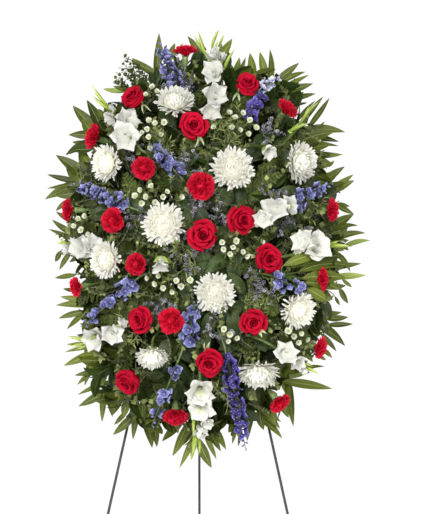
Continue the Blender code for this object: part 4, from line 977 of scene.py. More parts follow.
def gladiolus(b, low, high, rng, florets, buds):
    span = high - low
    length = np.linalg.norm(span)
    a, z_ = np.array(elevation(low)), np.array(elevation(high))

    def stem_at(x, z, back=0.0):
        t = (np.array((x, z)) - a) @ (z_ - a) / ((z_ - a) @ (z_ - a))
        t = float(np.clip(t - back / length, 0.0, 0.90))
        return t, low + span * t

    last = 0.2
    for x, z, half, off, clock, openness in florets:
        way, o = facing(off, clock), openness / 100
        x, z, S = x / 1000, z / 1000, 1.12 * half / 1000 / max(o, 0.5)
        t, at = stem_at(x, z, 0.022)
        last = max(last, t)
        c = on_sight_line(x, z, plane_coords(at)[2] + 0.95 * S * math.cos(math.radians(off)))
        trumpet(b, S, basis(way, rng.uniform(0, 1.0)), c, rng, 0, o, hold=at)
        for turn in (-1, 1):
            w = unit(unit(c - way * S * 0.5 - at) + 0.35 * span / length + turn * 0.25 * unit(np.cross(span, way)))
            b.leaves(at - span / length * 0.004, at + w * min(0.036, 1.1 * S), -way, 0.0062, 0, 1, 0.10, -0.45, 5, 8, 0.7)
    for x0, z0, x1, z1, width in buds:
        t, at = stem_at(x0 / 1000, z0 / 1000, 0.004)
        last = max(last, t)
        depth = plane_coords(at)[2]
        foot = on_sight_line(x0 / 1000, z0 / 1000, depth + 0.006)
        tip = on_sight_line(x1 / 1000, z1 / 1000, depth + 0.010)
        way, L, r = unit(tip - foot), np.linalg.norm(tip - foot), width / 2000
        across = unit(np.cross(FORWARD, way))
        if np.linalg.norm(foot - at) > 0.003:
            b.tubes(curve_between(at, foot, span, way, 8)[None], np.linspace(0.0030, r * 0.7, 8)[None], 7, 1, 1)
        # the closed flower, pale at its end, between two bracts
        m = 9
        q = np.linspace(0, 1, m)
        line = foot + way * (0.80 * L * q)[:, None] + across * (0.05 * L * rng.uniform(-1, 1) * np.sin(PI * q))[:, None]
        b.tubes(line[None], (0.80 * r * np.sin(PI * (0.18 + 0.80 * q ** 0.9)) ** 0.75)[None], 8, 4 + rng.integers(0, 12), 1)
        for turn, far in ((-1, 1.0), (1, rng.uniform(0.66, 0.86))):
            p0 = foot - way * 0.004 - across * turn * r * 0.15
            p1 = foot + way * L * far + across * turn * L * (0.02 if far == 1.0 else 0.07)
            b.leaves(p0, p1, unit(FORWARD * 0.5 * turn + across * turn), 0.90 * r, 4 + rng.integers(0, 12), 1, 0.03, -0.55, 5, 11, 0.72)
    t = np.linspace(0, 1, 12)[:, None]
    b.tubes((low + span * min(0.95, last + 0.02) * t)[None], np.linspace(0.0042, 0.0026, 12)[None], 7, 1, 2)


def delph_floret(b, S, M, c, rng, mat=0):
    k = np.arange(5)
    az = k * 2 * PI / 5 + rng.uniform(0, 1) + rng.uniform(-0.15, 0.15, 5)
    nu, nv = 5, 5
    u = np.linspace(-1, 1, nu)[None, :, None]
    v = np.linspace(0, 1, nv)[None, None, :]
    o = 1 + rng.uniform(-0.20, 0.15, 5)
    r = (0.06 + 0.94 * v) * o[:, None, None] * (1 - 0.24 * u ** 2 * v ** 1.5)
    rise = rng.uniform(0.15, 0.95, 5)[:, None, None]
    z = rise * v ** 1.5
    half = 0.56 * np.sin(PI * np.clip(0.10 + 0.74 * v, 0, 1)) ** 0.62
    lift = 0.30 * half * u ** 2 + 0.09 * np.sin(3.5 * u + rng.uniform(0, 6, 5)[:, None, None]) * v
    er = np.stack((np.cos(az), np.sin(az), 0 * az), -1)[:, None, None]
    es = np.stack((-np.sin(az), np.cos(az), 0 * az), -1)[:, None, None]
    P = er * r[..., None] + np.array((0, 0, 1.0)) * (z + lift)[..., None] + es * (u * half)[..., None]
    b.grid(put(P * S, M, c), 4 + rng.integers(0, 12, 5), mat)
    k = np.arange(3)
    az = k * 2.1 + rng.uniform(0, 1)
    e = np.stack((np.cos(az), np.sin(az), 0 * az), -1)
    b.leaves(put(e * 0.03 * S, M, c), put((e * 0.20 + (0, 0, 0.24)) * S, M, c), M[:, 2], 0.10 * S, 4 + rng.integers(0, 4, 3), 3, 0.1, 0.3, 3, 4, 0.8)
    q = np.linspace(0, 1, 4)[:, None]
    spur = np.array((0, 0, 0.05)) * (1 - q) + q * np.array((0.15, 0.25, -0.95))
    b.tubes(put(spur * S, M, c)[None], np.array((0.16, 0.13, 0.09, 0.03))[None] * S, 4, 4, mat)


def delphinium(b, low, high, rng, wide=0.0106, open_share=0.80, gaps=0.0):
    """A spike; gaps is how much of it stands in loose groups, with bare stem between."""
    axis, out, side = spike_frame(low, high)
    length = np.linalg.norm(high - low)
    count = int(length / 0.0051)
    for k in range(count):
        t = (k + 0.5) / count
        at = low + axis * length * t
        a = k * GOLDEN + rng.uniform(-0.4, 0.4)
        way = unit(math.cos(a) * out + math.sin(a) * side + out * 0.35 + axis * (0.15 + 0.7 * max(0, t - 0.6)) + rng.normal(0, 0.12, 3))
        if t < open_share and rng.uniform() < gaps * (0.5 + 0.5 * math.sin(2 * PI * (3.3 * t + 0.15))) * 1.25:
            continue
        if t < open_share:
            S = wide * (1.10 - 0.30 * t) * rng.uniform(0.70, 1.18)
            at2 = at + way * (0.0122 - 0.0045 * t) * rng.uniform(0.45, 1.35) + axis * rng.normal(0, 0.0025)
            tilt = unit(way + rng.normal(0, 0.45, 3))
            delph_floret(b, S, basis(tilt, rng.uniform(0, 6)), at2, rng, 0)
        elif k % 2 == 0 or t < 0.9:
            f = (t - open_share) / (1 - open_share)
            size = 0.0044 * (1.2 - 0.6 * f)
            at2 = at + way * (0.009 - 0.006 * f)
            bud(b, at2 - way * size * 0.8, at2 + way * size * 1.3, size * 0.60, 1, 4 + k % 12, 6, 5)
            b.tubes(np.stack((at, (at + at2) / 2, at2))[None], 0.0006, 3, 1, 2)
    t = np.linspace(0, 1, 8)[:, None]
    b.tubes((low + (high - low) * 0.99 * t)[None], np.linspace(0.0026, 0.0008, 8)[None], 6, 1, 2)


def aster(b, c, way, S, rng):
    M = basis(way, rng.uniform(0, 6))
    n = 11
    az = np.arange(n) * 2 * PI / n + rng.uniform(-0.12, 0.12, n)
    e = np.stack((np.cos(az), np.sin(az), 0 * az), -1)
    lift = rng.uniform(0.20, 0.70)
    reach = rng.uniform(0.86, 1.06, n)[:, None] * (1.05 - 0.25 * lift)
    base = e * 0.20 * S
    tip = e * reach * S + np.array((0, 0, lift * S))
    b.leaves(put(base, M, c), put(tip, M, c), (np.array((0, 0, 1.0)) - 0.2 * e) @ M.T, 0.27 * S, 4 + np.arange(n) % 12, 0, -0.12, 0.30, 3, 6, 1.45)
    u = np.linspace(0, 2 * PI, 9)[:, None]
    v = np.linspace(0.02, 1, 5)[None, :]
    dome_ = np.stack((0.31 * np.sin(v * PI / 2) * np.cos(u), 0.31 * np.sin(v * PI / 2) * np.sin(u), 0.08 + 0.20 * np.cos(v * PI / 2) + 0 * u), -1)
    b.grid(put(dome_ * S, M, c)[None], 4 + rng.integers(0, 12), 1)
    t = np.linspace(0, 1, 5)
    line = np.stack((0 * t, 0 * t, -0.62 + 0.70 * t), -1)[None] * S
    b.tubes(put(line, M, c), np.array((0.08, 0.20, 0.30, 0.34, 0.26))[None] * S, 7, 0, 2)


# ================================================================ all the flowers with a solid
flowers = flower_list()
for flower, d in zip(flowers, part_heads(flowers)):
    flower[1] = flower[1] + d
slots = planting_slots()
bases = np.array([plane_coords(p[0] - 0.014 * w) for _, p, _, w, _ in flowers])
chosen = choose_slots(bases, slots)

# Where each bloom stands in the front elevation: nothing small is laid over it.
COVER = []
for name, points, radii, way, R in flowers:
    if R:
        centre = points[0] + {"rose": 1.08, "carnation": 1.45, "mum": 0.62}[name.rsplit("_", 1)[0]] * R * way
        spots = [(centre, 0.95 * R, 0.2 * R)]
    else:
        spots = [(points[0] + (points[-1] - points[0]) * t, 0.024 if name.startswith("glad") else 0.014, 0.006) for t in (0.02, 0.12, 0.24, 0.36, 0.48, 0.60, 0.72, 0.84)]
    for centre, radius, back in spots:
        ray = centre - EYE
        flat = EYE + ray * (SIGHT / ray[1])
        COVER.append((flat[0], flat[2], radius, plane_coords(centre)[2] - back))
for x, z, half, *_ in EXTRA_FLORETS:
    COVER.append((x / 1000, z / 1000, 0.9 * half / 1000, plane_coords(spike_ends(EXTRA_SPIKE)[0])[2]))
for x, z, width, off, clock in SINGLE_FLORETS:
    COVER.append((x / 1000, z / 1000, width / 2000, plane_coords(on_sight_line(x / 1000, z / 1000, dome(x / 1000, z / 1000) - 0.006))[2] - 0.012))
for number, (flower, florets) in enumerate(zip([f for f in flowers if f[0].startswith("glad")], GLADIOLUS_FLORETS)):
    for x, z, half, off, clock, openness in florets:
        COVER.append((x / 1000, z / 1000, 0.9 * half / 1000, plane_coords(flower[1][0])[2]))
COVER = np.array(COVER)


def tuck(x, z, f):
    """The depth f, or less where a bloom would be covered."""
    inside = (COVER[:, 0] - x) ** 2 + (COVER[:, 1] - z) ** 2 < COVER[:, 2] ** 2
    return min(f, COVER[inside, 3].min() - 0.004) if inside.any() else f


for number, (flower, k) in enumerate(zip(flowers, chosen)):
    name, points, radii, way, R = flower
    kind, which = name.rsplit("_", 1)
    rng = np.random.default_rng(1000 + number)
    b = Builder()
    shade = float(rng.uniform(0.25, 0.75))
    p, d = slots[k]
    inside = plane_point(*(p - d * PLANT_DEPTH))
    stub = plane_point(*(p + d * STUB))
    lead = points[0] - 0.014 * way
    stem = np.vstack((inside[None], curve_between(stub, lead, stub - inside, way, 12), points[:1]))
    if kind == "rose":
        c = points[0] + 1.08 * R * way
        rose_head(b, R, basis(way, rng.uniform(0, 6)), c, rng)
        b.tubes(stem[None], 0.0027, 7, 1, 2)
        b.make(f"{name}_bloom", [M_ROSE, M_CALYX, M_STEM], shade, ROOT, name)
    elif kind == "carnation":
        c = points[0] + 1.45 * R * way
        carnation_head(b, R, basis(way, rng.uniform(0, 6)), c, rng)
        b.tubes(stem[None], 0.0024, 7, 1, 2)
        b.make(f"{name}_bloom", [M_CARNATION, M_CALYX, M_STEM], shade, ROOT, name)
    elif kind == "mum":
        c = points[0] + 0.62 * R * way
        mum_head(b, R, basis(way, rng.uniform(0, 6)), c, rng)
        b.tubes(stem[None], 0.0027, 7, 1, 3)
        b.make(f"{name}_bloom", [M_MUM, M_MUM_HEART, M_CALYX, M_STEM], shade, ROOT, name)
    elif kind == "gladiolus":
        gladiolus(b, points[0], points[-1], rng, GLADIOLUS_FLORETS[int(which) - 1], GLADIOLUS_BUDS[int(which) - 1])
        b.tubes(stem[None], 0.0032, 7, 1, 2)
        b.make(f"{name}_spike", [M_GLAD, M_GLAD_BUD, M_STEM], shade, ROOT, name)
    else:
        dark = which == "06"
        delphinium(b, points[0], points[-1], rng, FULL[int(which) - 1], gaps=SPARSE[int(which) - 1])
        b.tubes(stem[None], 0.0026, 7, 1, 2)
        b.make(f"{name}_spike", [M_DELPH_DARK if dark else M_DELPH, M_DELPH_BUD, M_STEM, M_BEE], shade, ROOT, name)

# ================================================================ more small flowers
for number, row in enumerate(MORE_DELPHINIUMS, 8):
    rng = np.random.default_rng(2000 + number)
    low, high = spike_ends(row[:4])
    b = Builder()
    delphinium(b, low, high, rng, FULL[number - 1], gaps=SPARSE[number - 1])
    foot = plane_point(0.0, plane_coords(low)[1] * 0.8 - 0.06, FOAM_FRONT)
    b.tubes(curve_between(foot, low, FORWARD, high - low, 12)[None], 0.0024, 6, 1, 2)
    b.make(f"delphinium_{number:02d}_spike", [(M_DELPH, M_DELPH_DARK, M_DELPH_PALE)[row[4]], M_DELPH_BUD, M_STEM, M_BEE], 0.5, ROOT, None)

for number, group in enumerate(ASTERS, 1):
    rng = np.random.default_rng(3000 + number)
    b = Builder()
    heads = []
    for x, z in group:
        x, z = x / 1000, z / 1000
        heads.append(on_sight_line(x, z, tuck(x, z, dome(x, z) + 0.004 + rng.uniform(-0.012, 0.012))))
    heads = np.array(heads)
    middle = heads.mean(0)
    node = middle + np.array((0, 0.085, 0)) + (np.array((0, 0, 1.03)) - middle) * np.array((0.15, 0, 0.15))
    for h in heads:
        way = unit(unit(h - node) * 0.9 + np.array((0, -0.65, 0.1)) + rng.normal(0, 0.28, 3))
        aster(b, h, way, rng.uniform(0.0068, 0.0088), rng)
        line = curve_between(node, h - way * 0.005, h - node, way, 8)
        b.tubes(line[None], 0.0007, 4, 1, 2)
        mid = line[4]
        b.leaves(line[3:5], line[3:5] + rng.normal(0, 0.006, (2, 3)) + unit(h - node) * 0.012, rng.normal(0, 1, (2, 3)), 0.0016, 1, 2, 0.1, 0.2, 3, 4)
    foot = plane_point(*(np.clip(plane_coords(node), (-0.04, -0.50, 0), (0.04, -0.10, 0)) * (1, 1, 0) + (0, 0, FOAM_FRONT)))
    b.tubes(curve_between(foot, node, FORWARD, middle - node, 10)[None], 0.0015, 5, 1, 2)
    b.make(f"aster_{number:02d}_sprig", [M_ASTER, M_ASTER_EYE, M_STEM], 0.5, ROOT, None)

for number, (x, z) in enumerate(LIMONIUM, 1):
    rng = np.random.default_rng(4000 + number)
    x, z = x / 1000, z / 1000
    b = Builder()
    tipc = on_sight_line(x, z, tuck(x, z, dome(x, z) - 0.010))
    node = tipc + np.array((0, 0.070, -0.01)) - (tipc - np.array((0, tipc[1], 1.03))) * 0.12
    K = 11
    for k in range(K):
        ex, ez = x + rng.normal(0, 0.023), z + rng.normal(0, 0.023)
        end = on_sight_line(ex, ez, tuck(ex, ez, dome(ex, ez) - 0.008 + rng.normal(0, 0.010)))
        line = curve_between(node, end, tipc - node, unit(end - node) + rng.normal(0, 0.5, 3), 12)
        b.tubes(line[None], np.linspace(0.0008, 0.0004, 12)[None], 4, 1, 1)
        m = 9
        t = np.linspace(0.45, 1, m)
        idx = t * 11
        at = np.array([line[int(min(q, 10.999))] * (1 - q % 1) + line[min(int(q) + 1, 11)] * (q % 1) for q in idx])
        at = at + rng.normal(0, 0.0022, (m, 3))
        ways = unit(rng.normal(0, 1, (m, 3)) + np.array((0, -0.9, 0.2)))
        for q in range(m):
            Mq = basis(ways[q], rng.uniform(0, 6))
            a = np.arange(5) * 2 * PI / 5
            e = np.stack((np.cos(a), np.sin(a), 0 * a), -1)
            S = rng.uniform(0.0028, 0.0046)
            b.leaves(put(e * 0.05 * S - np.array((0, 0, 0.5 * S)), Mq, at[q]), put(e * S, Mq, at[q]), Mq[:, 2], 0.42 * S, 4 + rng.integers(0, 12), 0, 0.0, 0.3, 2, 4, 1.3)
    foot = plane_point(*(np.clip(plane_coords(node), (-0.04, -0.50, 0), (0.04, -0.10, 0)) * (1, 1, 0) + (0, 0, FOAM_FRONT)))
    b.tubes(curve_between(foot, node, FORWARD, tipc - node, 10)[None], 0.0014, 5, 1, 1)
    b.make(f"limonium_{number:02d}_sprig", [M_LIMONIUM, M_TWIG], 0.5, ROOT, None)

for number, (x, z, width, off, clock) in enumerate(SINGLE_FLORETS, 1):
    rng = np.random.default_rng(4500 + number)
    x, z = x / 1000, z / 1000
    b = Builder()
    way = facing(off, clock)
    c = on_sight_line(x, z, dome(x, z) + 0.004)
    trumpet(b, width / 2000, basis(way, 0.4), c, rng)
    back = c - way * width / 2000 * 1.3
    for turn in (-1, 1):
        w = unit(way + turn * 0.9 * unit(np.cross(way, FORWARD)) + 0.3 * FORWARD)
        b.leaves(back, back + w * 0.026, -FORWARD, 0.0050, 4, 1, 0.10, -0.4, 5, 8, 0.7)
    foot = plane_point(0.0, plane_coords(c)[1], FOAM_FRONT)
    b.tubes(curve_between(foot, c - way * width / 2000 * 1.3, FORWARD, way, 10)[None], 0.0018, 6, 1, 2)
    b.make(f"floret_{number:02d}_white", [M_GLAD, M_GLAD_BUD, M_STEM], 0.5, ROOT, None)

rng = np.random.default_rng(4600)
b = Builder()
low, high = spike_ends(EXTRA_SPIKE)
gladiolus(b, low, high, rng, EXTRA_FLORETS, ())
foot = plane_point(0.02, plane_coords(low)[1], FOAM_FRONT)
b.tubes(curve_between(foot, low, FORWARD, high - low, 12)[None], 0.0028, 7, 1, 2)
b.make("gladiolus_09_spike", [M_GLAD, M_GLAD_BUD, M_STEM], 0.5, ROOT, None)

# ================================================================ foliage
MIDDLE = np.array((0.0, DOME_Z))
TIPS = np.array([row[:2] for row in LEAVES]) / 1000.0
tip_angle = np.arctan2(TIPS[:, 1] - MIDDLE[1], TIPS[:, 0] - MIDDLE[0])
tip_reach = np.hypot(TIPS[:, 0] - MIDDLE[0], TIPS[:, 1] - MIDDLE[1])
order = np.argsort(tip_angle)


def outline(angle):
    """How far the leaves reach from the middle, in the front elevation."""
    a = (np.asarray(angle) + PI) % (2 * PI) - PI
    return np.interp(a, np.concatenate((tip_angle[order] - 2 * PI, tip_angle[order], tip_angle[order] + 2 * PI)), np.tile(tip_reach[order], 3))


def spot(r, a):
    """The point at r of the way from the middle to the outline, in the front elevation."""
    far = float(outline(a)) * r
    return MIDDLE[0] + math.cos(a) * far, MIDDLE[1] + math.sin(a) * far


def leaflet_normal(count, rng, spread=0.45):
    return unit(FORWARD[None] + rng.normal(0, spread, (count, 3)))


FRONDS = 30
frond_angle = np.array([2 * PI * k / FRONDS + 0.06 for k in range(FRONDS)])
reached = {k: [] for k in range(FRONDS)}
for row in LEAVES:
    a = math.atan2(row[3] / 1000 - MIDDLE[1], row[2] / 1000)
    gap = np.abs((frond_angle - a + PI) % (2 * PI) - PI)
    reached[int(np.argmin(gap))].append(row)
for k in range(FRONDS):
    rng = np.random.default_rng(5000 + k)
    a = frond_angle[k]
    b = Builder()
    far = outline(a)
    end = MIDDLE + np.array((math.cos(a), math.sin(a))) * far * 0.78
    start_a = np.clip((MIDDLE[0] + math.cos(a) * 0.05) - EASEL_X, -0.05, 0.05)
    depth0, depth1 = rng.uniform(0.030, 0.060), rng.uniform(0.016, 0.055)
    start_z = DOME_Z + math.sin(a) * 0.20
    root = on_sight_line(EASEL_X + start_a, start_z, depth0)
    finish = on_sight_line(end[0], end[1], depth1)
    bow = FORWARD * rng.uniform(0.01, 0.04)
    rachis = bezier(np.stack((root, root * 0.6 + finish * 0.4 + bow, finish)), np.linspace(0, 1, 16))
    b.tubes(rachis[None], np.linspace(0.0024, 0.0009, 16)[None], 6, 1, 1)
    along = unit(np.gradient(rachis, axis=0))
    pairs = 9
    base, tip, wide = [], [], []
    for j in range(pairs):
        t = 0.22 + 0.78 * j / (pairs - 1)
        q = t * 15
        q0 = int(min(q, 14.999))
        at = rachis[q0] * (1 - (q - q0)) + rachis[q0 + 1] * (q - q0)
        d = along[q0]
        s = unit(np.cross(FORWARD, d))
        lean = math.radians(60 - 30 * t + rng.uniform(-6, 6))
        length = 0.115 * rng.uniform(0.88, 1.08)
        for side in (-1, 1):
            way = unit(d * math.cos(lean) + side * s * math.sin(lean) + FORWARD * rng.uniform(-0.05, 0.25))
            end_ = at + way * length
            x, z = elevation(end_)
            over = math.hypot(x, z - MIDDLE[1]) - outline(math.atan2(z - MIDDLE[1], x)) * 0.84
            if over > 0:
                end_ = at + way * max(0.045, length - over * 1.2)
            base.append(at)
            tip.append(end_)
            wide.append(rng.uniform(0.0066, 0.0100))
    base, tip, wide = np.array(base), np.array(tip), np.array(wide)
    count = len(base)
    b.leaves(base, tip, leaflet_normal(count, rng, 0.34), wide, 4 + rng.integers(0, 12, count), 0, rng.uniform(-0.02, 0.09, count), 0.30, 5, 12, 0.90, rng.uniform(-0.06, 0.06, count), rng.uniform(-0.5, 0.5, count))
    # the leaflets that make the outline, each on its own short stalk
    for row in reached[k]:
        x1, z1, x0, z0, width, bow_, young = row + (0, 0)[len(row) - 5:]
        out = np.array((x1 - x0, z1 - z0), float)
        inward = out / np.linalg.norm(out) * min(22.0, 0.30 * np.linalg.norm(out))
        f0 = rng.uniform(0.030, 0.056)
        foot = on_sight_line((x0 - inward[0]) / 1000, (z0 - inward[1]) / 1000, f0)
        tip_ = on_sight_line(x1 / 1000, z1 / 1000, f0 + rng.uniform(-0.018, 0.012))
        dist = np.linalg.norm(rachis - foot, axis=1)
        q0 = int(np.argmin(dist + 0.2 * (np.arange(16) < 5)))
        q0 = max(0, q0 - 2)
        b.tubes(curve_between(rachis[q0], foot, along[q0], tip_ - foot, 9)[None], np.linspace(0.0013, 0.0010, 9)[None], 5, 1, 1)
        sway = bow_ / 100 if bow_ else rng.uniform(-0.035, 0.035)
        b.leaves(foot, tip_, leaflet_normal(1, rng, 0.26), 0.55 * width / 1000, 4 + rng.integers(0, 12), 2 if young else 0, rng.uniform(-0.02, 0.06), 0.26, 7, 16, 0.92, sway, rng.uniform(-0.30, 0.30, 1))
    b.make(f"palm_{k + 1:02d}_frond", [M_PALM, M_STEM, M_PALM_YOUNG], float(rng.uniform(0.2, 0.9)), ROOT, "palm_collar" if k == 0 else None)


def fern(b, base, tip, normal, wide, rng, mat=0, pairs=12, pinnules=7):
    span = tip - base
    length = np.linalg.norm(span)
    t = np.linspace(0, 1, 10)
    line = base + span * t[:, None] + normal * (length * 0.10 * np.sin(PI * t))[:, None]
    b.tubes(line[None], np.linspace(0.0011, 0.0004, 10)[None], 4, 1, 1)
    d = unit(span)
    s = unit(np.cross(normal, d))
    bases, tips, normals, widths = [], [], [], []
    for j in range(pairs):
        q = 0.16 + 0.82 * j / (pairs - 1)
        at = base + span * q + normal * length * 0.10 * math.sin(PI * q)
        reach = wide * (1 - q) ** 0.75 * (1.0 if q > 0.25 else 0.9) * rng.uniform(0.92, 1.08) + 0.004
        for side in (-1, 1):
            lean = math.radians(62 + rng.uniform(-5, 5))
            way = unit(d * math.cos(lean) + s * side * math.sin(lean) + normal * rng.uniform(-0.15, 0.10))
            across = unit(np.cross(normal, way))
            m = max(2, int(round(pinnules * reach / wide)) + 1)
            qq = (np.arange(m) + 0.6) / m
            small = 0.36 * reach * (1 - qq) ** 0.6 * 0.9 + 0.0018
            small = np.minimum(small, 0.0105)
            for hand in (-1, 1):
                w = unit(way * 0.55 + across * hand * 0.85)
                p0 = at + way * (reach * qq)[:, None]
                bases.append(p0)
                tips.append(p0 + w * small[:, None])
                normals.append(np.tile(normal + 0.25 * rng.normal(0, 1, 3), (m, 1)))
                widths.append(small * 0.30 + 0.0008)
            bases.append(at[None])
            tips.append((at + way * (reach + 0.003))[None])
            normals.append(normal[None])
            widths.append(np.array([0.0014]))
    bases, tips, normals, widths = np.vstack(bases), np.vstack(tips), np.vstack(normals), np.concatenate(widths)
    b.leaves(bases, tips, normals, widths, 4 + rng.integers(0, 12, len(bases)), mat, 0.05, 0.2, 2, 4, 0.8)


def sprig(b, base, tip, rng, leaf=0.013, wide=0.0046, count=14, mat=0, curl=0.10):
    span = tip - base
    d = unit(span)
    bow = rng.normal(0, curl, 3) * np.linalg.norm(span)
    t = np.linspace(0, 1, 8)
    line = base + span * t[:, None] + bow * np.sin(PI * t)[:, None]
    b.tubes(line[None], np.linspace(0.0011, 0.0005, 8)[None], 4, 1, 1)
    q = np.linspace(0.15, 1.0, count)
    at = base + span * q[:, None] + bow * np.sin(PI * q)[:, None]
    side = unit(np.cross(d, rng.normal(0, 1, 3)))
    up = np.cross(d, side)
    a = np.arange(count) * GOLDEN
    out = side * np.cos(a)[:, None] + up * np.sin(a)[:, None]
    ends = at + unit(out * 0.9 + d * 0.75) * (leaf * rng.uniform(0.75, 1.15, count) * (1 - 0.30 * q))[:, None]
    b.leaves(at, ends, unit(d + 0.35 * rng.normal(0, 1, (count, 3))), wide * rng.uniform(0.8, 1.1, count), 4 + rng.integers(0, 12, count), mat, -0.06, 0.28, 3, 5, 0.75)


def elliptic_points(count, inner, outer, seed):
    rng = np.random.default_rng(seed)
    k = np.arange(count)
    rho = np.sqrt(inner ** 2 + (outer ** 2 - inner ** 2) * (k + 0.5) / count)
    a = k * GOLDEN + rng.uniform(-0.15, 0.15, count)
    return rho, a, rng


def on_dome(x, z, sink):
    return on_sight_line(x, z, tuck(x, z, max(0.022, dome(x, z) - sink)))


# broad leaves low down close the back of the spray; their dark colour is painted shade, darker still on the deeper
# layers
for part in range(3):
    b = Builder()
    rho, angle, rng = elliptic_points(100, 0.10, (0.66, 0.76, 0.82)[part], 6000 + part)
    for r, a in zip(rho, angle):
        a = a + part * 0.8
        x, z = spot(r, a)
        w = a + rng.normal(0, 0.7)
        L = rng.uniform(0.050, 0.075)
        sink = (0.048, 0.068, 0.090)[part]
        p0 = on_dome(x - 0.5 * L * math.cos(w), z - 0.5 * L * math.sin(w), sink + 0.014)
        p1 = on_dome(x + 0.5 * L * math.cos(w), z + 0.5 * L * math.sin(w), sink)
        n = unit(np.array((x * 1.2, -0.35, (z - DOME_Z) * 0.9)) + rng.normal(0, 0.14, 3))
        b.leaves(p0, p1, n, rng.uniform(0.016, 0.023), 4 + int(rng.integers(0, 12)), 0, 0.10, 0.18, 5, 7, 0.75)
    b.make(f"broad_leaves_{part + 1:02d}", [M_BROAD_PAINTED_SHADE, M_STEM], (0.75, 0.5, 0.3)[part], ROOT, None)

# a collar of leaves, dark with painted shade, stands behind the feet of the outline leaves
b = Builder()
rng = np.random.default_rng(6050)
for k in range(150):
    a = 2 * PI * (k + rng.uniform(-0.3, 0.3)) / 150
    r = (0.70, 0.62, 0.76)[k % 3] + rng.uniform(-0.03, 0.03)
    w = a + rng.normal(0, 0.35)
    L = rng.uniform(0.060, 0.085)
    x, z = spot(r, a)
    f0 = rng.uniform(0.028, 0.064)
    p0 = on_sight_line(x - 0.5 * L * math.cos(w), z - 0.5 * L * math.sin(w), f0 + 0.012)
    p1 = on_sight_line(x + 0.5 * L * math.cos(w), z + 0.5 * L * math.sin(w), f0)
    b.leaves(p0, p1, FORWARD + rng.normal(0, 0.25, 3), rng.uniform(0.011, 0.017), 4 + int(rng.integers(0, 12)), 0, 0.05, 0.2, 5, 9, 0.85, rng.uniform(-0.05, 0.05))
b.make("collar_leaves_01", [M_BROAD_PAINTED_SHADE, M_STEM], 0.7, ROOT, None)

# broad leaves laid round the holder before anything else went in, dark with painted shade
b = Builder()
rho, angle, rng = elliptic_points(150, 0.08, 0.64, 6020)
for r, a in zip(rho, angle):
    x, z = spot(r, a)
    f0 = rng.uniform(0.034, 0.074)
    p1 = on_sight_line(x, z, f0)
    a1, h1, _ = plane_coords(p1)
    if abs(a1) < 0.064 and HOLD_TOP - HOLD_ROWS * HOLD_CELL - 0.01 < h1 < HOLD_TOP + 0.01:
        a1 = math.copysign(0.066 + 0.03 * rng.random(), a1)
    w = math.atan2(h1 - HOLD_TOP + 0.23, a1) + rng.normal(0, 0.5)
    L = rng.uniform(0.062, 0.085)
    p0 = plane_point(a1, h1, f0)
    p1 = plane_point(a1 + L * math.cos(w), h1 + L * math.sin(w), f0 - 0.008)
    b.leaves(p0, p1, FORWARD + rng.normal(0, 0.22, 3), rng.uniform(0.018, 0.024), 4 + int(rng.integers(0, 12)), 0, 0.08, 0.2, 5, 7, 0.72)
b.make("inner_leaves_01", [M_BROAD_PAINTED_SHADE, M_STEM], 0.4, ROOT, None)

# and over the face of the foam, between the stems, dark with painted shade
b = Builder()
rng = np.random.default_rng(6025)
for k in range(44):
    x = 0.015 + (k % 4 - 1.5) * 0.034 + rng.uniform(-0.010, 0.010)
    z = 1.225 - 0.040 * (k // 4) + rng.uniform(-0.012, 0.012)
    w = rng.uniform(0, 2 * PI)
    L = rng.uniform(0.050, 0.068)
    sink = rng.uniform(0.028, 0.042)
    p0 = on_dome(x - 0.5 * L * math.cos(w), z - 0.5 * L * math.sin(w), sink + 0.008)
    p1 = on_dome(x + 0.5 * L * math.cos(w), z + 0.5 * L * math.sin(w), sink)
    b.leaves(p0, p1, np.array((0.0, -1.0, 0.1)) + rng.normal(0, 0.2, 3), rng.uniform(0.015, 0.020), 4 + int(rng.integers(0, 12)), 0, 0.10, 0.18, 5, 7, 0.75)
b.make("inner_leaves_02", [M_BROAD_PAINTED_SHADE, M_STEM], 0.95, ROOT, None)

# leaves at the crown and at the foot, low between the outline leaves; the crown's are dark with painted shade
rng = np.random.default_rng(6055)
for name, rows, material, depths in (
    ("crown_leaves_01", CROWN, M_BROAD_PAINTED_SHADE, (0.070, 0.110)), ("foot_leaves_01", FOOT, M_PALM, (0.060, 0.090)), ("fan_leaves_01", FANS, M_PALM, (0.046, 0.066)),
):
    b = Builder()
    for x0, z0, x1, z1, width in rows:
        f = rng.uniform(*depths)
        p0 = on_sight_line(x0 / 1000, z0 / 1000, f + 0.012)
        p1 = on_sight_line(x1 / 1000, z1 / 1000, f)
        b.leaves(p0, p1, FORWARD + rng.normal(0, 0.22, 3), width / 2000, 4 + int(rng.integers(0, 12)), 0, 0.06, 0.22, 5, 10, 0.85, rng.uniform(-0.05, 0.05))
        foot = plane_point(np.clip(plane_coords(p0)[0] * 0.3, -0.045, 0.045), HOLD_TOP if z0 > 1100 else HOLD_TOP - HOLD_ROWS * HOLD_CELL, 0.055)
        b.tubes(curve_between(foot, p0, p0 - foot, p1 - p0, 9)[None], 0.0012, 5, 1, 1)
    b.make(name, [material, M_STEM], 0.5, ROOT, None)

b = Builder()
rng = np.random.default_rng(6057)
for x0, z0, x1, z1, width in SEPALS:
    p0 = on_dome(x0 / 1000, z0 / 1000, 0.004)
    p1 = on_dome(x1 / 1000, z1 / 1000, -0.002)
    root = on_dome((x0 - 0.5 * (x1 - x0)) / 1000, (z0 - 0.5 * (z1 - z0)) / 1000, 0.024)
    b.tubes(curve_between(root, p0, FORWARD, p1 - p0, 8)[None], 0.0016, 6, 1, 1)
    for turn in (-0.35, 0.30):
        w = unit(p1 - p0 + turn * np.cross(FORWARD, p1 - p0))
        b.leaves(p0, p0 + w * np.linalg.norm(p1 - p0) * rng.uniform(0.8, 1.0), FORWARD + rng.normal(0, 0.3, 3), width / 2600, 4 + int(rng.integers(0, 12)), 0, 0.12, 0.4, 5, 8, 0.7, rng.uniform(-0.1, 0.1))
b.make("rose_sepals_01", [M_SEPAL, M_CALYX], 0.6, ROOT, None)

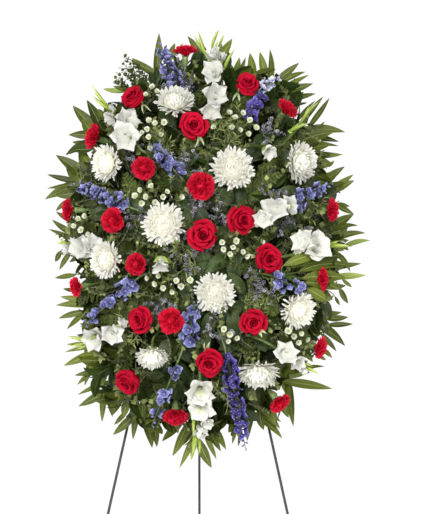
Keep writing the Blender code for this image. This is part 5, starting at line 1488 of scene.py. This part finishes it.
# a palm leaf lies over the foliage low on the right
b = Builder()
rng = np.random.default_rng(6058)
for x0, z0, x1, z1, width in RIGHT_PALM:
    p0 = on_dome(x0 / 1000, z0 / 1000, 0.006)
    p1 = on_sight_line(x1 / 1000, z1 / 1000, max(0.045, dome(x1 / 1000, z1 / 1000) - 0.012))
    b.leaves(p0, p1, FORWARD + rng.normal(0, 0.16, 3), width / 2000, 4 + int(rng.integers(0, 12)), 0, 0.07, 0.22, 7, 14, 0.85, rng.uniform(0.0, 0.06))
    root = on_dome(0.172, 0.968, 0.012)
    b.tubes(curve_between(root, p0, p0 - root, p1 - p0, 8)[None], 0.0012, 5, 1, 1)
b.make("fan_leaves_02", [M_PALM, M_STEM], 0.75, ROOT, None)

# leafy stems run out from the holder to the rim and close the sides of the spray; the first and last layers are dark
# with painted shade
WAIST = 26
for layer, (reach, f1) in enumerate(((0.80, 0.085), (0.83, 0.120), (0.80, 0.160))):
    rng = np.random.default_rng(6060 + layer)
    b = Builder()
    for k in range(WAIST):
        a = 2 * PI * (k + layer / 3 + rng.uniform(-0.2, 0.2)) / WAIST
        upright = abs(math.sin(a)) > 0.72
        r1 = (reach + (0.07 if upright else 0.0)) * rng.uniform(0.94, 1.0)
        x, z = spot(r1, a)
        f = min(f1 * rng.uniform(0.85, 1.1), max(0.05, dome(x, z) - 0.012))
        end = on_sight_line(x, z, f)
        root = on_sight_line(EASEL_X + np.clip(0.05 * math.cos(a), -0.05, 0.05), DOME_Z + math.sin(a) * 0.22, min(f, 0.075))
        out = unit(end - root)
        line = curve_between(root, end, out, unit(out + 0.35 * FORWARD + rng.normal(0, 0.12, 3)), 14)
        b.tubes(line[None], np.linspace(0.0019, 0.0008, 14)[None], 5, 1, 1)
        m = 12
        q = np.linspace(0.30, 1.0, m) * 12.99
        lo = q.astype(int)
        at = line[lo] * (1 - (q - lo))[:, None] + line[np.minimum(lo + 1, 13)] * (q - lo)[:, None]
        d = unit(np.gradient(line, axis=0))[lo]
        radial = unit(np.array((math.cos(a), 0.0, math.sin(a))) + rng.normal(0, 0.25, (m, 3)))
        s_ = unit(np.cross(radial, d)) * np.where(np.arange(m) % 2, 1, -1)[:, None]
        way = unit(0.55 * d + 0.80 * s_ + 0.25 * radial + rng.normal(0, 0.18, (m, 3)))
        L = rng.uniform(0.046, 0.064, m)
        tip = at + way * L[:, None]
        for j in range(m):
            ex, ez = elevation(tip[j])
            over = math.hypot(ex, ez - MIDDLE[1]) - float(outline(math.atan2(ez - MIDDLE[1], ex))) * (0.93 if upright else 0.87)
            if over > 0:
                tip[j] = at[j] + way[j] * max(0.026, L[j] - 1.3 * over)
        b.leaves(at, tip, unit(radial + 0.25 * rng.normal(0, 1, (m, 3))), rng.uniform(0.010, 0.0145, m), 4 + rng.integers(0, 12, m), 0, 0.08, 0.22, 5, 8, 0.80, rng.uniform(-0.05, 0.05, m))
    b.make(f"leafy_stems_{layer + 1:02d}", [(M_BROAD_PAINTED_SHADE, M_PALM, M_BROAD_PAINTED_SHADE)[layer], M_STEM], (0.9, 0.35, 0.6)[layer], ROOT, None)

# leaves behind, round the holder, dark with painted shade
b = Builder()
rng = np.random.default_rng(6100)
for side in (-1, 1):
    for k in range(56):
        h = HOLD_TOP + 0.03 - 0.52 * ((k * 0.618) % 1.0)
        a0 = side * rng.uniform(0.062, 0.15)
        f0 = rng.uniform(0.022, 0.050)
        w = rng.normal(0, 0.5) + (h - HOLD_TOP + 0.23) * 1.8
        L = rng.uniform(0.060, 0.085)
        p0 = plane_point(a0, h, f0 + 0.012)
        p1 = plane_point(a0 + side * L * math.cos(w), h + L * math.sin(w), f0)
        b.leaves(p0, p1, -FORWARD + rng.normal(0, 0.25, 3), rng.uniform(0.015, 0.022), 4 + int(rng.integers(0, 12)), 0, 0.08, 0.2, 5, 7, 0.75)
for up in (-1, 1):
    for k in range(16):
        h = (HOLD_TOP if up > 0 else HOLD_TOP - HOLD_ROWS * HOLD_CELL) + up * rng.uniform(0.004, 0.06)
        a0 = rng.uniform(-0.06, 0.06)
        f0 = rng.uniform(0.024, 0.05)
        w = rng.normal(0, 0.5)
        L = rng.uniform(0.060, 0.085)
        p0 = plane_point(a0, h, f0 + 0.012)
        p1 = plane_point(a0 + L * math.sin(w), h + up * L * math.cos(w), f0)
        b.leaves(p0, p1, -FORWARD + rng.normal(0, 0.25, 3), rng.uniform(0.015, 0.022), 4 + int(rng.integers(0, 12)), 0, 0.08, 0.2, 5, 7, 0.75)
for side in (-1, 1):
    for k in range(42):
        h = HOLD_TOP + 0.01 - (HOLD_ROWS * HOLD_CELL + 0.02) * (k + 0.5) / 42
        w = rng.normal(0, 0.6)
        L = rng.uniform(0.045, 0.060)
        f0 = (0.032, 0.085, 0.055)[k % 3]
        p0 = plane_point(side * 0.0640, h, f0)
        p1 = plane_point(side * (0.0640 + 0.9 * L * math.cos(w)), h + L * math.sin(w), f0 - 0.006)
        b.leaves(p0, p1, -FORWARD + rng.normal(0, 0.2, 3), rng.uniform(0.013, 0.018), 4 + int(rng.integers(0, 12)), 0, 0.08, 0.2, 5, 7, 0.62)
b.make("back_leaves_01", [M_BROAD_PAINTED_SHADE, M_STEM], 0.6, ROOT, None)

# ferns lie over each other like shingles, just under the blooms
rho, angle, rng = elliptic_points(54, 0.08, 0.78, 7000)
for k, (r, a) in enumerate(zip(rho, angle)):
    x, z = spot(r, a)
    w = math.atan2(z - DOME_Z, x) + rng.normal(0, 0.55)
    L = rng.uniform(0.100, 0.130)
    sink = rng.uniform(0.030, 0.062)
    p0 = on_dome(x - 0.55 * L * math.cos(w), z - 0.55 * L * math.sin(w), sink + 0.030)
    p1 = on_dome(x + 0.45 * L * math.cos(w), z + 0.45 * L * math.sin(w), sink - 0.008)
    n = unit(np.array((x * 1.3, -0.40, (z - DOME_Z) * 1.0)) + rng.normal(0, 0.14, 3))
    b = Builder()
    fern(b, p0, p1, n, rng.uniform(0.030, 0.042), rng)
    b.make(f"fern_{k + 1:02d}_frond", [M_FERN, M_STEM], float(rng.uniform(0.2, 0.95)), ROOT, None)
# fine twigs with small dark leaves stand up at the shoulder
b = Builder()
rng = np.random.default_rng(7100)
for x0, z0, x1, z1 in (
    (-128, 1392, -186, 1473), (-126, 1396, -172, 1462), (-134, 1384, -190, 1456), (-140, 1378, -195, 1444), (-148, 1370, -203, 1432),
    (-152, 1366, -206, 1420), (-158, 1360, -210, 1412), (-120, 1400, -158, 1452), (-144, 1388, -176, 1440), (-136, 1380, -182, 1428),
):
    p0, p1 = on_sight_line(x0 / 1000, z0 / 1000, 0.092), on_sight_line(x1 / 1000, z1 / 1000, 0.080 + rng.uniform(-0.012, 0.012))
    sprig(b, p0, p1, rng, 0.0135, 0.0046, 20, 0, 0.04)
b.make("shoulder_twigs_01", [M_FERN, M_TWIG], 0.5, ROOT, None)

# small-leaved sprigs fill in between the blooms
rho, angle, rng = elliptic_points(340, 0.05, 0.84, 8000)
for k in range(10):
    b = Builder()
    for r, a in list(zip(rho, angle))[k::10]:
        x, z = spot(r, a)
        w = math.atan2(z - DOME_Z, x) + rng.normal(0, 0.8)
        L = rng.uniform(0.040, 0.080)
        p0 = on_dome(x - 0.5 * L * math.cos(w), z - 0.5 * L * math.sin(w), 0.050)
        p1 = on_dome(x + 0.5 * L * math.cos(w), z + 0.5 * L * math.sin(w), rng.uniform(-0.002, 0.016))
        small = rng.uniform(1.15, 1.50) if rng.random() < 0.55 else rng.uniform(0.70, 0.95)
        sprig(b, p0, p1, rng, 0.0125 * small, 0.0044 * small, int(13 / small + 3 * rng.random()))
    b.make(f"small_leaf_sprigs_{k + 1:02d}", [M_FINE, M_TWIG], (0.05, 0.9, 0.35, 0.65, 0.15, 1.0, 0.5, 0.25, 0.8, 0.1)[k], ROOT, None)

# light blades, fine as grass, curl up in loose tufts
rng = np.random.default_rng(8200)
b = Builder()
for x0, z0, wide, count in TUFTS:
    for k in range(count):
        x = (x0 + wide * rng.normal(0, 0.45)) / 1000
        z = (z0 + wide * rng.normal(0, 0.45)) / 1000
        w = math.atan2(z - DOME_Z, x) + rng.normal(0, 0.9)
        L = rng.uniform(0.030, 0.055)
        p0 = on_dome(x - 0.5 * L * math.cos(w), z - 0.5 * L * math.sin(w), 0.040)
        p1 = on_dome(x + 0.5 * L * math.cos(w), z + 0.5 * L * math.sin(w), rng.uniform(-0.004, 0.010))
        sprig(b, p0, p1, rng, 0.019, 0.0011, 15, 0, 0.16)
b.make("fine_blades_01", [M_BLADE, M_TWIG], 0.5, ROOT, None)

# ================================================================ floor, light, camera
floor_n = Nodes("pale_floor")
where = floor_n.add("ShaderNodeTexCoord").outputs["Object"]
soft = floor_n.noise(where, 0.7, 2.0)
floor_n.set(Base_Color=floor_n.mix(soft, (0.86, 0.86, 0.855), (0.90, 0.90, 0.895)), Roughness=0.7)
bpy.ops.mesh.primitive_circle_add(vertices=96, radius=2.6, fill_type="NGON", location=(0, 0, 0))
floor = bpy.context.object
floor.name = "floor_plain"
floor.data.materials.append(floor_n.material)

world = bpy.context.scene.world or bpy.data.worlds.new("studio")
bpy.context.scene.world = world
world.use_nodes = True
sky = world.node_tree
dim, white = sky.nodes["Background"], sky.nodes.new("ShaderNodeBackground")
dim.inputs[0].default_value = (1.0, 1.0, 1.0, 1)
dim.inputs[1].default_value = 0.50
white.inputs[0].default_value = (1.0, 1.0, 1.0, 1)
white.inputs[1].default_value = 1.02
choose, path = sky.nodes.new("ShaderNodeMixShader"), sky.nodes.new("ShaderNodeLightPath")
sky.links.new(path.outputs["Is Camera Ray"], choose.inputs[0])
sky.links.new(dim.outputs[0], choose.inputs[1])
sky.links.new(white.outputs[0], choose.inputs[2])
sky.links.new(choose.outputs[0], sky.nodes["World Output"].inputs[0])


def soft_light(name, place, target, size, power):
    lamp = bpy.data.lights.new(name, "AREA")
    lamp.shape = "DISK"
    lamp.size = size
    lamp.energy = power
    obj = bpy.data.objects.new(name, lamp)
    obj.location = place
    obj.rotation_euler = (Vector(target) - Vector(place)).to_track_quat("-Z", "Y").to_euler()
    bpy.context.scene.collection.objects.link(obj)


soft_light("key", (-1.3, -3.6, 2.6), (0, -0.1, 1.0), 1.3, 150)
soft_light("low", (-1.7, -3.1, 0.6), (-0.1, -0.1, 0.8), 1.0, 42)
soft_light("fill", (1.8, -3.4, 1.4), (0, -0.1, 1.0), 1.6, 90)
soft_light("back", (1.4, 3.0, 2.6), (0, 0, 1.0), 1.8, 80)
soft_light("back_left", (-2.6, 2.0, 1.8), (0, 0, 1.0), 1.8, 45)

camera = bpy.data.cameras.new("camera")
camera.sensor_width = 36.0
camera.lens = 36.0 * SIGHT / (514 * 0.0023)
camera.clip_end = 50
camera_object = bpy.data.objects.new("camera", camera)
camera_object.location = EYE
camera_object.rotation_euler = (PI / 2, 0, 0)
bpy.context.scene.collection.objects.link(camera_object)
bpy.context.scene.camera = camera_object
bpy.context.scene.view_settings.view_transform = "Standard"
bpy.context.scene.view_settings.look = "None"
